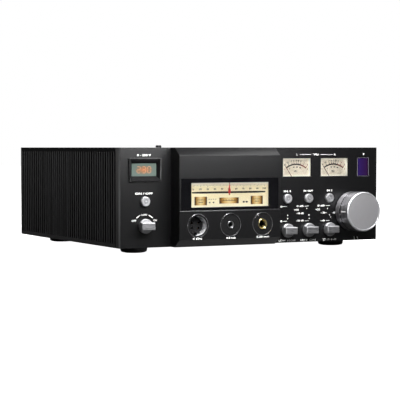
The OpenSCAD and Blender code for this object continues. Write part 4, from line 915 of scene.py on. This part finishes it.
# Contact sleeves: gold-plated tubes pressed into the four holes of the insert, 2.4 mm back from its face.
gold = mottled("gold plate on brass", {"Scale": 1300.0}, [(0.3, "#8a6c34"), (0.7, "#9c7c40")],
               {"Metallic": 1.0, "Roughness": 0.25})
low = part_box("xlr_insert")[0]
sleeve_y = low.y / MM + 2.4
CONTACT_R = 4.4
sleeves = []
for degrees in (35, 145, 215, 325):
    bearing = math.radians(degrees)
    sleeves.append(turned_ring(
        SOCKETS[0] + CONTACT_R * math.cos(bearing), SOCKET_Z + CONTACT_R * math.sin(bearing), (
            (1.15, sleeve_y + 5.0), (1.15, sleeve_y + 0.1), (1.05, sleeve_y), (0.85, sleeve_y),
            (0.7, sleeve_y + 0.2), (0.7, sleeve_y + 5.0)), 20))
gather("contact_sleeves", sleeves, gold)
LABEL_Z = 15.2
socket_words = [
    lettering("4 PIN", -74.2, LABEL_Z, 10.2, 1.9, FACE),
    lettering("4.4 mm", -37.3, LABEL_Z, 10.2, 1.9, FACE),
    lettering("6.35 mm", -1.2, LABEL_Z, 14.2, 1.9, FACE),
]
gather("socket_printing", socket_words, ink)

# Push buttons and selectors: turned and milled from aluminium bar, blasted and anodised clear. The
# selectors are glued to their shafts, and the buttons drop in from behind against a flange.
silver, tree, place = start("clear anodised blasted aluminium")
pits = add(tree, "TexNoise", {"Vector": place, "Scale": 1500.0, "Detail": 3.0})
tone = add(tree, "ValToRGB", {"Fac": pits.outputs["Fac"]}, [(0.3, "#9c9c9e"), (0.7, "#b0b0b2")])
gloss = add(tree, "MapRange", {"Value": pits.outputs["Fac"], "To Min": 0.48, "To Max": 0.62})
edge = add(tree, "Bevel", {"Radius": 0.0004}, samples=4)
relief = add(tree, "Bump", {"Strength": 0.15, "Distance": 0.00004, "Height": pits.outputs["Fac"],
                            "Normal": edge.outputs["Normal"]})
skin = add(tree, "BsdfPrincipled", {"Base Color": tone.outputs["Color"], "Metallic": 1.0,
                                    "Roughness": gloss.outputs["Result"], "Normal": relief.outputs["Normal"]})
add(tree, "OutputMaterial", {"Surface": skin.outputs[0]})
# Brushed grip: the face of each bar is brushed along its length, its lines drawn 0.7 mm apart.
brushed, tree, place = start("brushed clear anodised aluminium")
stretched = add(tree, "Mapping", {"Vector": place, "Scale": (0.12, 1.0, 1.0)})
lines = add(tree, "TexNoise", {"Vector": stretched.outputs["Vector"], "Scale": 1400.0, "Detail": 3.0})
tone = add(tree, "ValToRGB", {"Fac": lines.outputs["Fac"]}, [(0.35, "#7e7e80"), (0.65, "#a0a0a2")])
relief = add(tree, "Bump", {"Strength": 0.2, "Distance": 0.00004, "Height": lines.outputs["Fac"]})
skin = add(tree, "BsdfPrincipled", {"Base Color": tone.outputs["Color"], "Metallic": 1.0, "Roughness": 0.5,
                                    "Normal": relief.outputs["Normal"]})
add(tree, "OutputMaterial", {"Surface": skin.outputs[0]})
# Turned groove: duller, and painted darker as shade in the groove.
groove = mottled("turned groove in anodised aluminium", {"Scale": 1500.0},
                 [(0.3, "#868688"), (0.7, "#9a9a9c")], {"Metallic": 1.0, "Roughness": 0.6})
groove_inner = 1.1 * MM
groove_outer = 2.6 * MM
for k in range(1, 5):
    low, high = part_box("button_%d" % k)
    button = round_off("button_%d" % k, 0.3, silver, "button_%d" % k)
    dish_y = low.y + 0.3 * MM
    for side in button.data.polygons:
        side.select = side.normal.y < -0.95 and abs(side.center.y - dish_y) < 0.02 * MM
    bpy.context.view_layer.objects.active = button
    bpy.ops.object.mode_set(mode="EDIT")
    bpy.ops.mesh.select_mode(type="FACE")
    bpy.ops.mesh.inset(thickness=0.8 * MM)
    bpy.ops.mesh.extrude_region_move(TRANSFORM_OT_translate={"value": (0.0, -0.25 * MM, 0.0)})
    bpy.ops.mesh.inset(thickness=0.1 * MM)
    bpy.ops.object.mode_set(mode="OBJECT")
    middle = Vector(((low.x + high.x) / 2, 0.0, (low.z + high.z) / 2))
    coat(button, groove, lambda side: low.y + 0.05 * MM < side.center.y < low.y + 0.32 * MM
         and groove_inner < math.hypot(side.center.x - middle.x, side.center.z - middle.z) < groove_outer)
    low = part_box("selector_%d" % k)[0]
    selector = round_off("selector_%d" % k, 0.5, silver, "selector_%d" % k, 3)
    coat(selector, brushed, lambda side: side.normal.y < -0.99 and side.center.y < low.y + 0.1 * MM)

# Volume knob: turned from 40 mm aluminium bar on a lathe, its rim cut bright with a diamond tool, and
# pushed on a 6 mm shaft. A white-filled slot in its side shows the setting.
low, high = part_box("volume_knob")
knob = (low + high) / 2
# Turned side: grooves run round the axis, so light smears along it. They are drawn 0.8 mm apart.
turned, tree, place = start("turned aluminium")
stretched = add(tree, "Mapping", {"Vector": place, "Scale": (0.04, 1.0, 0.04)})
grooves = add(tree, "TexNoise", {"Vector": stretched.outputs["Vector"], "Scale": 1200.0, "Detail": 3.0})
tone = add(tree, "ValToRGB", {"Fac": grooves.outputs["Fac"]}, [(0.3, "#69686b"), (0.7, "#a09fa2")])
relief = add(tree, "Bump", {"Strength": 0.4, "Distance": 0.00005, "Height": grooves.outputs["Fac"]})
round_axis = add(tree, "Tangent", direction_type="RADIAL", axis="Y")
skin = add(tree, "BsdfPrincipled", {"Base Color": tone.outputs["Color"], "Metallic": 1.0, "Roughness": 0.435,
                                    "Anisotropic": 0.82, "Anisotropic Rotation": 0.25,
                                    "Normal": relief.outputs["Normal"],
                                    "Tangent": round_axis.outputs["Tangent"]})
add(tree, "OutputMaterial", {"Surface": skin.outputs[0]})
# Faced end: a fine satin left by the tool, with rings 1.1 mm apart that barely show.
faced, tree, place = start("faced satin aluminium")
RING_PITCH = 0.0011
centred = add(tree, "Mapping", {"Vector": place, "Location": (-knob.x, 0.0, -knob.z),
                                "Scale": (1.0, 0.0, 1.0)})
out = add(tree, "VectorMath", {0: centred.outputs["Vector"]}, operation="LENGTH")
ring = add(tree, "Math", {0: out.outputs["Value"], 1: math.tau / RING_PITCH}, operation="MULTIPLY")
lathe = add(tree, "Math", {0: ring.outputs[0]}, operation="SINE")
satin = add(tree, "TexNoise", {"Vector": place, "Scale": 1300.0, "Detail": 3.0})
tone = add(tree, "ValToRGB", {"Fac": satin.outputs["Fac"]}, [(0.3, "#c0bfc2"), (0.7, "#cccbce")])
relief = add(tree, "Bump", {"Strength": 0.06, "Distance": 0.00003, "Height": lathe.outputs[0]})
skin = add(tree, "BsdfPrincipled", {"Base Color": tone.outputs["Color"], "Metallic": 1.0, "Roughness": 0.56,
                                    "Normal": relief.outputs["Normal"]})
add(tree, "OutputMaterial", {"Surface": skin.outputs[0]})
# Diamond-cut rim: bright, but softened by the cutter's feed lines, so that it takes a broad highlight.
cut = mottled("diamond-cut aluminium rim", {"Scale": 900.0}, [(0.3, "#b2b2b5"), (0.7, "#c8c8cb")],
              {"Metallic": 0.7}, gloss=(0.36, 0.5))
knob_piece = round_off("volume_knob", 0.3, turned, "volume")
rim_y = low.y + 1.5 * MM
coat(knob_piece, faced, lambda side: side.center.y < rim_y and side.normal.y < -0.98)
coat(knob_piece, cut, lambda side: side.center.y < rim_y and side.normal.y >= -0.98)
# The shadow groove above the knob's base is coated near-black as painted shade. Its walls and floor lie
# inside 20.1 mm.
groove_r = 20.1 * MM
coat(knob_piece, painted_shade_black, lambda side: FRONT - 10.5 < side.center.y / MM < FRONT - 8.5
     and math.hypot(side.center.x - knob.x, side.center.z - knob.z) < groove_r)
SLOT_Y = -146.7
slot_fill = bevelled_block((low.x + 0.6 * MM, SLOT_Y * MM, knob.z), (0.9 * MM, 8.8 * MM, 0.7 * MM), 0.1, 2)
gather("volume_mark", [slot_fill], ink, "volume")

# Rear panel: 3 mm steel sheet with the mains inlet, line sockets, digital inputs, balanced outputs
# and the aerial, all in black or nickel.
paint(powder, "rear_panel")
paint(abs_plastic, "mains_inlet", "power_rocker", "xlr_outputs", "antenna_base", "antenna_mast")

# Top cover: 4 mm aluminium plate laid on the heat sinks, blasted and painted matt black, with two rows of
# milled vents. Countersunk steel screws with hex sockets hold it, the pan, the rear and the feet.
# Matt paint on blasted aluminium: it hardly mirrors the lights above, and its 1 mm stipple is even.
matt_paint, tree, place = start("matt black paint on blasted aluminium")
stipple = add(tree, "TexNoise", {"Vector": place, "Scale": 1000.0, "Detail": 3.0})
cloud = add(tree, "TexNoise", {"Vector": place, "Scale": 12.0, "Detail": 3.0})
tone = add(tree, "ValToRGB", {"Fac": cloud.outputs["Fac"]}, [(0.3, "#0f0f10"), (0.7, "#161617")])
gloss = add(tree, "MapRange", {"Value": stipple.outputs["Fac"], "To Min": 0.6, "To Max": 0.75})
edge = add(tree, "Bevel", {"Radius": 0.0004}, samples=4)
relief = add(tree, "Bump", {"Strength": 0.25, "Distance": 0.00005, "Height": stipple.outputs["Fac"],
                            "Normal": edge.outputs["Normal"]})
skin = add(tree, "BsdfPrincipled", {"Base Color": tone.outputs["Color"], "IOR": 1.5,
                                    "Specular IOR Level": 0.12, "Roughness": gloss.outputs["Result"],
                                    "Normal": relief.outputs["Normal"]})
add(tree, "OutputMaterial", {"Surface": skin.outputs[0]})
round_off("top_cover", 0.5, matt_paint)
# Black oxide on steel: nearly black, with a slight oily sheen and bare metal where the key has been.
oxide = mottled("black oxide on steel", {"Scale": 700.0, "Detail": 3.0},
                [(0.4, "#1d1d1f"), (0.75, "#47474a")], {"Metallic": 0.9, "Roughness": 0.38})
paint(oxide, "case_screws")

# The ink bar was only the pattern that the strokes were copied from.
bpy.data.objects.remove(ink_bar)

# Studio: a plain pale floor before a white wall. A softbox high in front is the key, a weak one fills,
# and a strip close above the front grades the panels. Small cards lift the top right and the left edge,
# and two lights stand behind.
bpy.ops.mesh.primitive_plane_add(size=12)
floor = bpy.context.object
floor.name = "floor"
paper, tree, place = start("white paper on a light table")
tooth = add(tree, "TexNoise", {"Vector": place, "Scale": 200.0})
tone = add(tree, "ValToRGB", {"Fac": tooth.outputs["Fac"]}, [(0.3, "#eeeeee"), (0.7, "#f2f2f2")])
axes = add(tree, "SeparateXYZ", {"Vector": place})
# The table is white to the camera and dark to all else, but for a soft patch below the raised section
# that lights its lower chamfer.
PATCH_X = -0.037
PATCH_Y = -0.13
PATCH_HALF_W = 0.075
PATCH_HALF_D = 0.03
beside = add(tree, "Math", {0: axes.outputs["X"], 1: PATCH_X}, operation="SUBTRACT")
before = add(tree, "Math", {0: axes.outputs["Y"], 1: PATCH_Y}, operation="SUBTRACT")
reach = edge_share(tree, beside, before, PATCH_HALF_W, PATCH_HALF_D)
patch = add(tree, "MapRange", {"Value": reach.outputs[0], "From Min": 0.8, "From Max": 1.2, "To Min": 0.2,
                               "To Max": 0.0})
seen = add(tree, "LightPath")
lit = add(tree, "Mix", {"Factor": seen.outputs["Is Camera Ray"], 2: patch.outputs["Result"], 3: 1.1})
both = add(tree, "Mix", {"Factor": seen.outputs["Is Camera Ray"], 6: (0.03, 0.03, 0.03, 1.0),
                         7: tone.outputs["Color"]}, data_type="RGBA")
skin = add(tree, "BsdfPrincipled", {"Base Color": both.outputs[2], "Roughness": 0.9,
                                    "Emission Color": (1.0, 1.0, 1.0, 1.0),
                                    "Emission Strength": lit.outputs[0]})
add(tree, "OutputMaterial", {"Surface": skin.outputs[0]})
floor.data.materials.append(paper)
floor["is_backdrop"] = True


def softbox(name, place, aim, wide, high, power):
    """A soft area light at place, facing aim."""
    bpy.ops.object.light_add(type="AREA", location=place)
    lamp = bpy.context.object
    lamp.name = name
    lamp.visible_camera = False
    lamp.data.shape = "RECTANGLE"
    lamp.data.size = wide
    lamp.data.size_y = high
    lamp.data.energy = power
    lamp.rotation_euler = (Vector(aim) - Vector(place)).to_track_quat("-Z", "Y").to_euler()


softbox("key_softbox", (-0.05, -0.55, 1.1), (0.0, -0.13, 0.05), 0.4, 0.4, 21.0)
softbox("fill_softbox", (0.1, -1.0, 0.7), (0.0, -0.13, 0.05), 0.6, 0.4, 1.3)
softbox("near_strip", (-0.03, -0.28, 0.165), (-0.03, -0.13, 0.08), 0.26, 0.03, 1.25)
softbox("top_card", (0.16, -0.08, 0.35), (0.12, -0.1, 0.1), 0.14, 0.14, 0.14)
softbox("edge_card", (-0.35, -0.225, 0.055), (-0.148, -0.13, 0.05), 0.05, 0.12, 0.03)
softbox("rear_softbox", (0.75, 1.3, 0.7), (0.0, 0.14, 0.05), 0.7, 0.7, 8.0)
softbox("back_card", (-0.65, 0.95, 0.2), (-0.15, 0.0, 0.05), 0.5, 0.5, 0.5)

# Room: dim grey all round, so that the blacks keep their depth, and plain white to the camera.
world = bpy.context.scene.world or bpy.data.worlds.new("studio")
bpy.context.scene.world = world
world.use_nodes = True
tree = world.node_tree
tree.nodes.clear()
heading = add(tree, "SeparateXYZ", {"Vector": add(tree, "TexCoord").outputs["Generated"]})
tone = add(tree, "ValToRGB", {"Fac": heading.outputs["Z"]}, [
    (0.0, 0.03), (0.2, 0.06), (0.55, 0.09), (1.0, 0.05)])
room = add(tree, "Background", {"Color": tone.outputs["Color"], "Strength": 1.0})
wall = add(tree, "Background", {"Color": (1.0, 1.0, 1.0, 1.0), "Strength": 1.0})
seen = add(tree, "LightPath")
mixed = add(tree, "MixShader", {0: seen.outputs["Is Camera Ray"], 1: room.outputs[0], 2: wall.outputs[0]})
add(tree, "OutputWorld", {"Surface": mixed.outputs[0]})
bpy.context.scene.view_settings.view_transform = "Standard"

# Camera: 1.5 m from the middle of the case, 28 degrees round to the left, on a long lens.
bpy.ops.object.camera_add(location=(-0.6940, -1.3268, 0.103),
                          rotation=(math.radians(87.833), 0.0, math.radians(-27.88)))
camera = bpy.context.object
camera.data.sensor_width = 36.0
camera.data.lens = 124.9
camera.data.clip_start = 0.05
bpy.context.scene.camera = camera

low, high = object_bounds()
